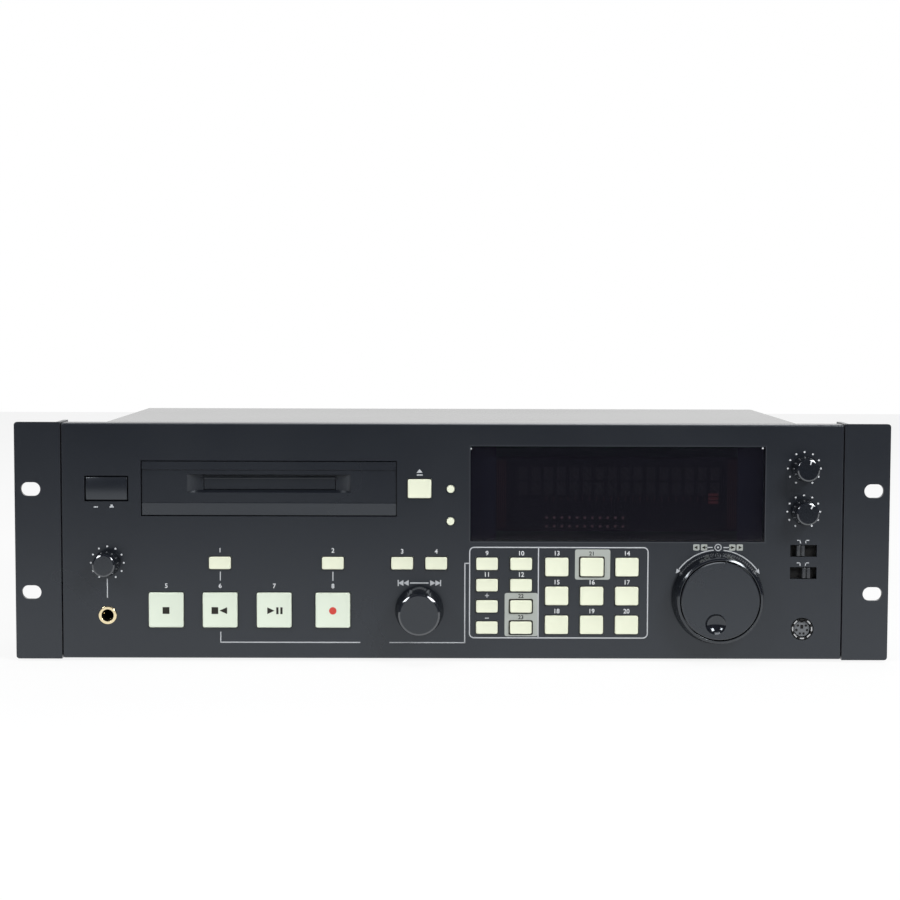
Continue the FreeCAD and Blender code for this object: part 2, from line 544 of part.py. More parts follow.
def slot_bezel():
    body = new_body("bezel_body")
    profile = [
        ("bezel_low_back", "0"), ("bezel_lip", "bezel_low_band"),
        ("bezel_sunk", "bezel_low_band + bezel_step"),
        ("bezel_sunk", "bezel_height - bezel_high_band - bezel_step"),
        ("bezel_lip", "bezel_height - bezel_high_band"), ("bezel_lip", "bezel_height"),
        ("bezel_deep", "bezel_height"), ("bezel_deep", "0")]
    sketch = sketch_on(body, "YZ_Plane", "bands", profile)
    block_feature = body.newObject("PartDesign::Pad", "bezel_block")
    block_feature.Profile = sketch
    block_feature.Midplane = True
    bind(block_feature, Length="bezel_width")
    body.Tip = block_feature
    place(body, "slot_x", "0", "bezel_low")
    flange = block("bezel_flange", "slot_x", "panel_wall + fit_gap", BEZEL_Z,
                   "bezel_width + 2 * bezel_flange", "bezel_flange_deep", "bezel_height + 2 * bezel_flange")
    whole = fuse("bezel_whole", [body, flange])
    tall = new_body("funnel_side")
    half = "funnel_height / 2"
    run = "(funnel_floor - bezel_sunk)"
    sides = [
        (f"bezel_sunk - {run}", f"-{half} - funnel_taper"), ("funnel_floor", f"-{half} + funnel_taper"),
        ("funnel_floor", f"{half} - funnel_taper"), (f"bezel_sunk - {run}", f"{half} + funnel_taper")]
    side_sketch = sketch_on(tall, "YZ_Plane", "funnel_section", sides)
    side_pad = tall.newObject("PartDesign::Pad", "funnel_run")
    side_pad.Profile = side_sketch
    side_pad.Midplane = True
    bind(side_pad, Length="funnel_width + 8")
    tall.Tip = side_pad
    place(tall, "slot_x", "0", "funnel_z")
    # each end of the funnel is a finger scoop, round in plan
    reach = "((funnel_width - mouth_width) / 2)"
    scoop = f"(({reach} * {reach} + {run} * {run}) / (2 * {run}))"
    floor_block = block("funnel_floor_block", "slot_x", "-2", "funnel_z", "mouth_width",
                        "funnel_floor + 2", "funnel_height + 4 * funnel_taper")
    scoops = [floor_block]
    for side in ("-1", "1"):
        name = "scoop_left" if side == "-1" else "scoop_right"
        scoops.append(rod(name, f"slot_x + {side} * mouth_width / 2", f"funnel_floor - {scoop}",
                          "funnel_z - funnel_height", scoop, "2 * funnel_height", "z"))
    common = doc.addObject("Part::Common", "funnel")
    common.Base = tall
    common.Tool = fuse("funnel_plan", scoops)
    mouth = block("mouth", "slot_x", "0", "(mouth_low + mouth_high) / 2", "mouth_width",
                  "bezel_deep + 1", "mouth_high - mouth_low")
    pin_hole = rod("door_pin_hole", "slot_x - mouth_width / 2 - door_pin_long - running_gap", DOOR_PIN_Y,
                   DOOR_PIN_Z, "door_pin_radius + running_gap",
                   "mouth_width + 2 * door_pin_long + 2 * running_gap", "x")
    node(cut("bezel_cut", whole, [common, mouth, pin_hole]), "slot_bezel")
    panel_hole("slot_bezel", "slot_x", BEZEL_Z, "bezel_width + 2 * bezel_gap",
               "bezel_height + 2 * bezel_gap")


def slot_door():
    low = "mouth_low + door_gap"
    high = "mouth_high - door_gap"
    plate = block("door_plate", "slot_x", "door_front", f"({low} + {high}) / 2", DOOR_WIDTH, "door_sheet",
                  f"{high} - ({low})")
    pins = rod("door_pins", "slot_x - mouth_width / 2 - door_pin_long", DOOR_PIN_Y, DOOR_PIN_Z,
               "door_pin_radius", "mouth_width + 2 * door_pin_long", "x")
    node(fuse("door_whole", [plate, pins]), "slot_door")


# Rack ears: an angle each, with two slots in its face.

def rack_ear(label, side):
    x = f"{side} * (ear_span / 2 - ear_face / 2)"
    body = new_body(label + "_body")
    pad(body, "face", rectangle("ear_face", "ear_height"), "0", "ear_sheet")
    dressed(body, "Fillet", "corners", "ear_corner", lambda edge: runs_back(edge)
            and edge.Vertexes[0].X * float(side) > 0)
    place(body, x, "0", MIDDLE)
    inner = f"{side} * (ear_span / 2 - ear_face + ear_sheet / 2)"
    flange = block(label + "_flange", inner, "ear_sheet / 2", MIDDLE, "ear_sheet",
                   "ear_return - ear_sheet / 2", "ear_height")
    tools = []
    for level in ("-1", "1"):
        z = f"{MIDDLE} + {level} * slot_up / 2"
        middle_x = f"{side} * (ear_span / 2 - slot_inset)"
        flat = "(slot_length - slot_height)"
        tools.append(block(label + "_slot", middle_x, "-1", z, flat, "ear_sheet + 2", "slot_height"))
        for end in ("-1", "1"):
            tools.append(rod(label + "_slot_end", f"{middle_x} + {end} * {flat} / 2", "-1", z,
                             "slot_height / 2", "ear_sheet + 2"))
    for level in ("0.25", "0.75"):
        tools.append(rod(label + "_screw_hole", f"{inner} - ear_sheet", "ear_screw_back",
                         f"ear_height * {level}", "screw_hole", "2 * ear_sheet", "x"))
    node(cut(label + "_cut", fuse(label + "_angle", [body, flange]), [fuse(label + "_tools", tools)]), label)


# Case: a folded cover over a tray, closed by a rear panel, on four feet.

SIDE_SCREWS = ("case_depth * 0.2", "case_depth * 0.55", "case_depth * 0.9")


def top_cover():
    tall = f"({CASE_TOP} - case_floor)"
    shell = new_body("cover_shell")
    pad(shell, "outside", rectangle(CASE_WIDTH, tall), "case_front", "case_depth - case_front")
    dressed(shell, "Fillet", "folds", "fold_radius", lambda edge: runs_back(edge)
            and edge.Vertexes[0].Z > 0)
    inside = [
        (f"-{CASE_WIDTH} / 2 + case_sheet", f"-{tall} / 2 - 1"),
        (f"{CASE_WIDTH} / 2 - case_sheet", f"-{tall} / 2 - 1"),
        (f"{CASE_WIDTH} / 2 - case_sheet", f"{tall} / 2 - case_sheet"),
        (f"-{CASE_WIDTH} / 2 + case_sheet", f"{tall} / 2 - case_sheet")]
    sketch = sketch_on(shell, "XZ_Plane", "inside_outline", inside)
    sketch.setExpression("AttachmentOffset.Base.z", bound("-case_front + 1"))
    hollow = shell.newObject("PartDesign::Pocket", "inside")
    hollow.Profile = sketch
    hollow.Type = 0
    bind(hollow, Length="case_depth + 2")
    shell.Tip = hollow
    place(shell, "0", "0", f"({CASE_TOP} + case_floor) / 2")
    holes = []
    for side in ("-1", "1"):
        for y in SIDE_SCREWS:
            holes.append(rod("cover_screw_hole", f"{side} * {CASE_WIDTH} / 2 - 2 * case_sheet", y,
                             "side_screw_up", "screw_hole", "4 * case_sheet", "x"))
    node(cut("top_cover_cut", shell, holes), "top_cover")


def bottom_chassis():
    wide = f"({CASE_WIDTH} - 2 * case_sheet - 2 * fit_gap)"
    deep = "(case_depth - case_front - case_sheet - fit_gap)"
    outside = block("tray_outside", "0", "case_front", "case_floor + tray_side / 2", wide, deep, "tray_side")
    inside = block("tray_inside", "0", "case_front - 1", "case_floor + case_sheet + tray_side / 2",
                   f"{wide} - 2 * case_sheet", f"{deep} + 2", "tray_side")
    tools = [inside]
    for side in ("-1", "1"):
        for y in SIDE_SCREWS:
            tools.append(rod("tray_screw_hole", f"{side} * {wide} / 2 - 2 * case_sheet", y, "side_screw_up",
                             "screw_hole", "4 * case_sheet", "x"))
    node(cut("bottom_chassis_cut", outside, [fuse("tray_tools", tools)]), "bottom_chassis")


def rubber_feet():
    feet = []
    for side in ("-1", "1"):
        for y in ("foot_end", "case_depth - foot_end"):
            foot = doc.addObject("Part::Cone", "foot")
            bind(foot, Radius1="foot_radius - foot_taper", Radius2="foot_radius",
                 Height="foot_drop + case_floor")
            place(foot, f"{side} * ({CASE_WIDTH} / 2 - foot_side)", y, "-foot_drop")
            feet.append(foot)
    node(group("feet", feet), "rubber_feet")


def screw(x, y, z, axis, angle):
    """A pan-head screw whose head stands on the place given, shank along its own minus Z."""
    turn = FreeCAD.Placement(FreeCAD.Vector(), FreeCAD.Rotation(FreeCAD.Vector(*axis), angle))
    head = doc.addObject("Part::Cone", "screw_head")
    bind(head, Radius1="screw_head", Radius2="screw_head * 0.75", Height="screw_head_high")
    shank = doc.addObject("Part::Cylinder", "screw_shank")
    bind(shank, Radius="screw_shank", Height="screw_long + screw_head_high / 2")
    shank.setExpression("Placement.Base.z", bound("-screw_long"))
    slot = doc.addObject("Part::Box", "screw_slot")
    bind(slot, Length="screw_drive * 3", Width="screw_drive / 2", Height="screw_head_high")
    slot.setExpression("Placement.Base.x", bound("-screw_drive * 1.5"))
    slot.setExpression("Placement.Base.y", bound("-screw_drive / 4"))
    slot.setExpression("Placement.Base.z", bound("screw_head_high / 2"))
    whole = cut("screw", fuse("screw_whole", [head, shank]), [slot])
    whole.Placement = turn
    place(whole, x, y, z)
    return whole


def case_screws():
    screws = []
    for side, angle in (("-1", -90), ("1", 90)):
        for y in SIDE_SCREWS:
            screws.append(screw(f"{side} * {CASE_WIDTH} / 2", y, "side_screw_up", (0, 1, 0), angle))
        for level in ("0.25", "0.75"):
            screws.append(screw(f"{side} * (ear_span / 2 - ear_face + ear_sheet)", "ear_screw_back",
                                f"ear_height * {level}", (0, 1, 0), angle))
        for z in ("case_floor + rear_screw_inset", f"{CASE_TOP} - rear_screw_inset"):
            screws.append(screw(f"{side} * ({CASE_WIDTH} / 2 - rear_screw_inset)", "case_depth", z,
                                (1, 0, 0), -90))
    node(group("screws", screws), "case_screws")


# Display: a smoked window let into the panel, and the glass tube behind it.

def display():
    panel_hole("window", "window_x", "window_z", "window_width", "window_height")
    pane = new_body("window_body")
    pad(pane, "pane", rectangle("window_width - 2 * window_gap", "window_height - 2 * window_gap"),
        "window_sunk", "window_sheet")
    place(pane, "window_x", "0", "window_z")
    node(pane, "display_window")
    tube = new_body("tube_body")
    pad(tube, "glass", rectangle("tube_width", "tube_height"), "tube_back", "tube_deep")
    pad(tube, "mount", rectangle("tube_width - 2 * switch_size", "tube_height - 2 * switch_size"),
        "tube_back + tube_deep / 2", "board_back - tube_back - tube_deep / 2")
    place(tube, "window_x", "0", "tube_z")
    node(tube, "display_tube")


# Circuit boards.

def front_board():
    sheet_block = block("front_board_sheet", "0", "board_back", f"(board_low + {BOARD_TOP}) / 2",
                        BOARD_WIDTH, "board_sheet", f"{BOARD_TOP} - board_low")
    notch_top = f"({BOARD_TOP} + 1)"
    notch = block("front_board_notch", "slot_x", "board_back - 1", f"(board_notch_low + {notch_top}) / 2",
                  "holder_width + 2 * board_notch_extra", "board_sheet + 2",
                  f"{notch_top} - board_notch_low")
    jack_gap = block("front_board_jack_gap", PHONES_X, "board_back - 1", "jack_z", "jack_body + 1",
                     "board_sheet + 2", "jack_body + 1")
    board = cut("front_board_cut", sheet_block, [notch, jack_gap])
    node(fuse("front_board_whole", [board] + switch_blocks + control_blocks), "front_circuit_board")


def main_board():
    z = "case_floor + case_sheet + main_board_up"
    parts = [block("main_board_sheet", "main_board_x", "main_board_front", f"{z} + board_sheet / 2",
                   "main_board_width", "main_board_deep", "board_sheet")]
    for side in ("-1", "1"):
        for y in ("main_board_front + standoff_inset",
                  "main_board_front + main_board_deep - standoff_inset"):
            x = f"main_board_x + {side} * (main_board_width / 2 - standoff_inset)"
            parts.append(rod("standoff", x, y, "case_floor + case_sheet", "standoff_radius",
                             "main_board_up + board_sheet / 2", "z"))
    for share in ("0.2", "0.45", "0.7"):
        x = f"main_board_x + main_board_width * ({share} - 0.5)"
        parts.append(block("chip", x, "main_board_front + main_board_deep * 0.4",
                           f"{z} + board_sheet + chip_high / 2 - 0.5", "chip_size",
                           "chip_size", "chip_high + 1"))
        parts.append(rod("capacitor", x, "main_board_front + main_board_deep * 0.75",
                         f"{z} + board_sheet / 2", "capacitor_radius", "capacitor_high", "z"))
    node(fuse("main_board_whole", parts), "main_circuit_board")


def transformer():
    z = "case_floor + case_sheet + core_high / 2"
    core = block("core", "core_x", "core_front", z, "core_width", "core_deep", "core_high")
    bobbin = block("bobbin", "core_x", "core_front - bobbin_out", z, "bobbin_width",
                   "core_deep + 2 * bobbin_out", "bobbin_high")
    node(fuse("transformer_whole", [core, bobbin]), "power_transformer")


# Drive: a bracket that stands on the case floor, the holder that lowers the cartridge,
# the turntable and the pickup on its rails.

def drive_frame():
    outer = "(holder_width + 2 * holder_sheet + 2 * frame_side_gap + 2 * frame_sheet)"
    base_z = "frame_floor + frame_sheet / 2"
    parts = [block("frame_base", "slot_x", "frame_front", base_z, outer, "frame_deep", "frame_sheet")]
    slots = []
    for side in ("-1", "1"):
        wall_x = f"slot_x + {side} * ({outer} - frame_sheet) / 2"
        parts.append(block("frame_wall", wall_x, "frame_front", "(frame_floor + frame_high) / 2",
                           "frame_sheet", "frame_deep", "frame_high - frame_floor"))
        for y in ("frame_front", "frame_front + frame_deep - leg_size"):
            leg_x = f"slot_x + {side} * ({outer} - leg_size) / 2"
            parts.append(block("frame_leg", leg_x, y, "(frame_floor + case_floor + case_sheet) / 2",
                               "leg_size", "leg_size", "frame_floor - case_floor - case_sheet"))
        for y in ("holder_front + holder_pin_inset", "holder_front + holder_deep - holder_pin_inset"):
            pin_z = "((holder_low + holder_high) / 2)"
            wide = "2 * (holder_pin_radius + running_gap)"
            slots.append(block("frame_slot", wall_x, f"{y} - {wide} / 2", f"{pin_z} - holder_travel / 2",
                               "3 * frame_sheet", wide, f"{wide} + holder_travel"))
        rail_x = f"slot_x + {side} * rail_spread"
        parts.append(rod("rail", rail_x, "disc_back - 1", "rail_up", "rail_radius", "rail_long + 2"))
        for y in ("disc_back - rail_block", "disc_back + rail_long"):
            tall = "(rail_up + rail_radius + 1 - frame_floor)"
            parts.append(block("rail_block", rail_x, y, f"frame_floor + {tall} / 2", "rail_block",
                               "rail_block", tall))
    parts.append(rod("motor", "slot_x", "disc_back", "frame_floor", "motor_radius",
                     "frame_sheet + motor_high", "z"))
    bore = rod("motor_bore", "slot_x", "disc_back", "spindle_low - running_gap",
               "spindle_radius + running_gap", "motor_high + frame_sheet", "z")
    node(cut("drive_frame_cut", fuse("drive_frame_whole", parts), slots + [bore]), "drive_frame")


def cartridge_holder():
    mid_z = "(holder_low + holder_high) / 2"
    tall = "(holder_high - holder_low)"
    outside = block("holder_outside", "slot_x", "holder_front", mid_z, "holder_width + 2 * holder_sheet",
                    "holder_deep", f"{tall} + 2 * holder_sheet")
    inside = block("holder_inside", "slot_x", "holder_front - 1", mid_z, "holder_width",
                   "holder_deep + 1 - holder_sheet", tall)
    window = block("holder_window", "slot_x", "holder_window_front", "holder_low - holder_sheet",
                   "holder_window_width", "holder_window_deep", "4 * holder_sheet")
    sleeve = cut("holder_sleeve", outside, [fuse("holder_tools", [inside, window])])
    pins = []
    for side in ("-1", "1"):
        for y in ("holder_front + holder_pin_inset", "holder_front + holder_deep - holder_pin_inset"):
            start = f"slot_x + {side} * (holder_width / 2 + holder_sheet / 2 + holder_pin_long / 2)"
            pins.append(rod("holder_pin", f"{start} - holder_pin_long / 2 - holder_sheet / 2", y, mid_z,
                            "holder_pin_radius", "holder_pin_long + holder_sheet", "x"))
    node(fuse("holder_whole", [sleeve] + pins), "cartridge_holder")


def turntable():
    spindle = rod("spindle", "slot_x", "disc_back", "spindle_low", "spindle_radius",
                  "turntable_low - spindle_low + turntable_high / 2", "z")
    plate = rod("turntable_plate", "slot_x", "disc_back", "turntable_low", "turntable_radius",
                "turntable_high", "z")
    spigot = rod("spigot", "slot_x", "disc_back", "turntable_low + turntable_high / 2", "spigot_radius",
                 "turntable_high / 2 + spigot_high", "z")
    node(fuse("turntable_whole", [spindle, plate, spigot]), "disc_turntable")


def pickup():
    lens_y = "disc_back + pickup_back"
    sled = block("pickup_sled", "slot_x", f"{lens_y} - pickup_deep / 2", "pickup_low + pickup_high / 2",
                 "pickup_width", "pickup_deep", "pickup_high")
    lens = rod("pickup_lens", "slot_x", lens_y, "pickup_low + pickup_high / 2", "lens_radius",
               "pickup_high / 2 + lens_high", "z")
    bores = []
    for side in ("-1", "1"):
        bores.append(rod("rail_bore", f"slot_x + {side} * rail_spread", f"{lens_y} - pickup_deep", "rail_up",
                         "rail_radius + running_gap", "2 * pickup_deep"))
    node(cut("pickup_cut", fuse("pickup_whole", [sled, lens]), bores), "optical_pickup")


# Back of the deck.

rear_holes = []


def rear_panel():
    wide = f"({CASE_WIDTH} - 2 * case_sheet - 2 * fit_gap)"
    tall = f"({CASE_TOP} - case_floor - case_sheet - fit_gap)"
    plate = block("rear_plate", "0", "case_depth - case_sheet", f"case_floor + {tall} / 2", wide,
                  "case_sheet", tall)
    for side in ("-1", "1"):
        for z in ("case_floor + rear_screw_inset", f"{CASE_TOP} - rear_screw_inset"):
            rear_holes.append(rod("rear_screw_hole", f"{side} * ({CASE_WIDTH} / 2 - rear_screw_inset)",
                                  "case_depth - 2 * case_sheet", z, "screw_hole", "4 * case_sheet"))
    node(cut("rear_panel_cut", plate, rear_holes), "rear_panel")


def rear_sockets():
    behind = "case_depth - 2 * case_sheet"
    sockets = []
    for index in range(6):
        x, z = f"phono_x + {index % 3} * phono_step", f"phono_z - {index // 3} * phono_step * 0.7"
        barrel = rod("phono_barrel", x, "case_depth", z, "phono_radius", "rear_reach")
        flange = rod("phono_flange", x, "case_depth", z, "phono_flange", "rear_reach / 4")
        neck = rod("phono_neck", x, "case_depth - phono_neck", z, "phono_radius",
                   "phono_neck + 1")
        bore = rod("phono_bore", x, "case_depth + 1", z, "phono_hole", "rear_reach")
        sockets.append(cut("phono", fuse("phono_whole", [barrel, flange, neck]), [bore]))
        rear_holes.append(rod("phono_clear", x, behind, z, "phono_radius + fit_gap", "4 * case_sheet"))
    for index in range(3):
        x = f"line_x + {index} * line_step"
        plate = block("line_plate", x, "case_depth", "line_z", "line_plate_width", "line_plate",
                      "line_plate_height")
        body = rod("line_body", x, "case_depth - line_deep", "line_z", "line_radius - 1", "line_deep + 1")
        pins = []
        for across, up in ((-0.87, 0.5), (0.87, 0.5), (0, -1)):
            pins.append(rod("line_pin", f"{x} + {across} * line_pin_circle", "case_depth - line_deep / 2",
                            f"line_z + {up} * line_pin_circle", "line_pin", "line_deep"))
        sockets.append(cut("line", fuse("line_whole", [plate, body]), pins))
        rear_holes.append(rod("line_clear", x, behind, "line_z", "line_radius", "4 * case_sheet"))
    for index in range(2):
        x = f"port_x + {index} * port_step"
        plate = block("port_plate", x, "case_depth", "port_z", "port_plate_width", "port_plate",
                      "port_plate_height")
        shell = block("port_shell", x, "case_depth - port_deep", "port_z", "port_width",
                      "port_deep + port_out", "port_height")
        sockets.append(fuse("port", [plate, shell]))
        rear_holes.append(block("port_clear", x, behind, "port_z", "port_width + 2 * fit_gap",
                                "4 * case_sheet", "port_height + 2 * fit_gap"))
    flange = block("inlet_flange", "inlet_x", "case_depth", "inlet_z", "inlet_width + 2 * inlet_flange",
                   "inlet_flange_sheet", "inlet_height + 2 * inlet_flange")
    body = block("inlet_body", "inlet_x", "case_depth - inlet_deep", "inlet_z", "inlet_width",
                 "inlet_deep + 1", "inlet_height")
    cup = block("inlet_cup", "inlet_x", "case_depth + inlet_flange_sheet - inlet_cup", "inlet_z",
                "inlet_width - 2 * inlet_wall", "inlet_cup + 1", "inlet_height - 2 * inlet_wall")
    hollow = cut("inlet_hollow", fuse("inlet_whole", [flange, body]), [cup])
    blades = []
    for across, up in ((-1, -1), (1, -1), (0, 1)):
        blades.append(block("inlet_blade", f"inlet_x + {across} * blade_step",
                            "case_depth + inlet_flange_sheet - inlet_cup - 1",
                            f"inlet_z + {up} * blade_drop", "blade_wide", "inlet_cup + 1 - blade_end",
                            "blade_high"))
    sockets.append(fuse("inlet", [hollow] + blades))
    rear_holes.append(block("inlet_clear", "inlet_x", behind, "inlet_z", "inlet_width + 2 * fit_gap",
                            "4 * case_sheet", "inlet_height + 2 * fit_gap"))
    node(group("sockets", sockets), "rear_sockets")


push_buttons()
level_knob("phones_level_knob", PHONES_X, "phones_level_z")
level_knob("input_level_left_knob", INPUT_X, "input_left_z")
level_knob("input_level_right_knob", INPUT_X, "input_right_z")
select_control()
jog_control()
slide_switch("analog_digital_slider", "slider_upper_z", "lever_upper_shift")
slide_switch("balance_slider", "slider_lower_z", "lever_lower_shift")
phones_jack()
keyboard_socket()
slot_bezel()
slot_door()
display()
rack_ear("left_rack_ear", "-1")
rack_ear("right_rack_ear", "1")
front_panel()
front_board()
main_board()
transformer()
drive_frame()
cartridge_holder()
turntable()
pickup()
top_cover()
bottom_chassis()
rubber_feet()
case_screws()
rear_sockets()
rear_panel()

doc.recompute()
for thing in doc.Objects:
    if {"Invalid", "Error"} & set(thing.State):
        raise RuntimeError(f"{thing.Label} failed: {thing.State}")
for thing in nodes:
    if thing.Shape.isNull() or not thing.Shape.isValid() or not thing.Shape.Solids:
        raise RuntimeError(f"{thing.Label} has no valid solid")

os.makedirs("parts", exist_ok=True)
for thing in nodes:
    thing.Shape.exportStep(f"parts/{thing.Label}.step")
print(len(nodes), "nodes written")
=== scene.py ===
import bpy
import bmesh
import math
from mathutils import Matrix, Vector


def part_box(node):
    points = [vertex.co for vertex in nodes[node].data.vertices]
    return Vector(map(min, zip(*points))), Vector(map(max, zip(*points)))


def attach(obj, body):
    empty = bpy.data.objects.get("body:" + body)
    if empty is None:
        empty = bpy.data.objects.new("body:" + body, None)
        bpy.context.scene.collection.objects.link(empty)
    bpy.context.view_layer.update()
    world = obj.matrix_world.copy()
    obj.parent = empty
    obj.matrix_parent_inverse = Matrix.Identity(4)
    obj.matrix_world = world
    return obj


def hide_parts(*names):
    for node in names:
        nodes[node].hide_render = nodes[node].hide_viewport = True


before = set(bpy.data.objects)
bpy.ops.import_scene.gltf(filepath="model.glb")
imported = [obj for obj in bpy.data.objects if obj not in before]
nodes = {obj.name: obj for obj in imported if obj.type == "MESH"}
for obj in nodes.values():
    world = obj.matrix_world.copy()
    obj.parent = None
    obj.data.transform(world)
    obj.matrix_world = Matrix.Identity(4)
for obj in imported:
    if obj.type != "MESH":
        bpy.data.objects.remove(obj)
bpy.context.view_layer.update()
mm = 0.001

# the panel's face and the ears' lower edge are what every place on the front is measured from
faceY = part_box("front_panel")[0].y
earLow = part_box("left_rack_ear")[0].z
print("frame loaded:", len(nodes), "nodes")


# a place on the panel in metres, from millimetres across, up and out of the face
def spot(x, z, out=0.0):
    return Vector((x * mm, faceY - out * mm, earLow + z * mm))


# several values of a dictionary at once
def pick(look, names):
    return (look[name] for name in names.split())


# a new object, linked into the scene
def placed(name, data):
    thing = bpy.data.objects.new(name, data)
    bpy.context.scene.collection.objects.link(thing)
    return thing


# a node's reach on the panel in millimetres: left, right, low and high
def extent(node, reach=0.0):
    low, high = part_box(node)
    return (low.x / mm - reach, high.x / mm + reach, (low.z - earLow) / mm - reach,
            (high.z - earLow) / mm + reach)


def centreOf(node):
    left, right, low, high = extent(node)
    return (left + right) / 2, (low + high) / 2


# how far behind the panel's face a node starts and ends, in millimetres
def depths(node):
    low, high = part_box(node)
    return (low.y - faceY) / mm, (high.y - faceY) / mm


# a place on a circle. The angle runs clockwise from straight up, in radians
def around(x, z, radius, angle):
    return x + radius * math.sin(angle), z + radius * math.cos(angle)


# Finishes

# join sockets; each row names a node, its output, the next node and its input
def wire(tree, *rows):
    for source, output, target, entry in rows:
        tree.links.new(source.outputs[output], target.inputs[entry])


def fill(node, values):
    for name, value in values.items():
        node.inputs[name].default_value = value


# colour drift, roughness drift and fine grain, shared by every painted or moulded surface
def finishGroup():
    group = bpy.data.node_groups.new("finishDrift", "ShaderNodeTree")
    for way, kind, names in (("INPUT", "Vector", ("Vector",)), ("INPUT", "Color", ("Colour", "Drift")),
                             ("INPUT", "Float", ("Drift Size", "Grain Size", "Rough Low", "Rough High")),
                             ("OUTPUT", "Color", ("Colour",)), ("OUTPUT", "Float", ("Roughness", "Height"))):
        for name in names:
            group.interface.new_socket(name=name, in_out=way, socket_type="NodeSocket" + kind)
    kinds = ("NodeGroupInput", "NodeGroupOutput", "ShaderNodeTexNoise", "ShaderNodeTexNoise",
             "ShaderNodeMix", "ShaderNodeMapRange")
    entry, result, broad, fine, mix, rough = (group.nodes.new(kind) for kind in kinds)
    fill(broad, {"Detail": 4})
    fill(fine, {"Detail": 3})
    fill(rough, {"From Min": 0.3, "From Max": 0.7})
    mix.data_type = "RGBA"
    wire(group, (entry, "Vector", broad, "Vector"), (entry, "Vector", fine, "Vector"),
         (entry, "Drift Size", broad, "Scale"), (entry, "Grain Size", fine, "Scale"),
         (broad, "Fac", mix, "Factor"), (entry, "Colour", mix, "A"), (entry, "Drift", mix, "B"),
         (broad, "Fac", rough, "Value"), (entry, "Rough Low", rough, "To Min"),
         (entry, "Rough High", rough, "To Max"), (mix, "Result", result, "Colour"),
         (rough, "Result", result, "Roughness"), (fine, "Fac", result, "Height"))
    return group


finishDrift = finishGroup()
coatRoughness = 0.06


# a finish: colour and roughness wander slowly, and a fine grain lifts the surface by depth in mm.
# The drift is a second colour, or a number by which the first one grows lighter.
def surface(name, colour, drift, rough=(0.5, 0.6), grain=2600.0, depth=0.004, metallic=0.0,
            stretch=(1, 1, 1), driftSize=14.0, specular=0.5, tint=(1, 1, 1), alpha=1.0, coat=0.0):
    other = drift if isinstance(drift, tuple) else [part + drift for part in colour]
    material = bpy.data.materials.new(name)
    material.use_nodes = True
    tree = material.node_tree
    kinds = ("TexCoord", "Mapping", "Group", "Bump")
    coords, mapping, group, bump = (tree.nodes.new("ShaderNode" + kind) for kind in kinds)
    shader = tree.nodes["Principled BSDF"]
    group.node_tree = finishDrift
    fill(mapping, {"Scale": stretch})
    fill(group, {"Colour": (*colour, 1), "Drift": (*other, 1), "Drift Size": driftSize, "Grain Size": grain,
                 "Rough Low": rough[0], "Rough High": rough[1]})
    fill(bump, {"Distance": depth * mm})
    fill(shader, {"Metallic": metallic, "Specular IOR Level": specular, "Specular Tint": (*tint, 1),
                  "Alpha": alpha, "Coat Weight": coat, "Coat Roughness": coatRoughness})
    wire(tree, (coords, "Object", mapping, "Vector"), (mapping, "Vector", group, "Vector"),
         (group, "Colour", shader, "Base Color"), (group, "Roughness", shader, "Roughness"),
         (group, "Height", bump, "Height"), (bump, "Normal", shader, "Normal"))
    return material


# the dark mouldings and paints, whose shine is a little blue
def cool(name, colour, rough, depth, specular, drift=0.002, **more):
    return surface(name, colour, drift, rough, depth=depth, specular=specular, tint=(0.88, 0.94, 1.0), **more)


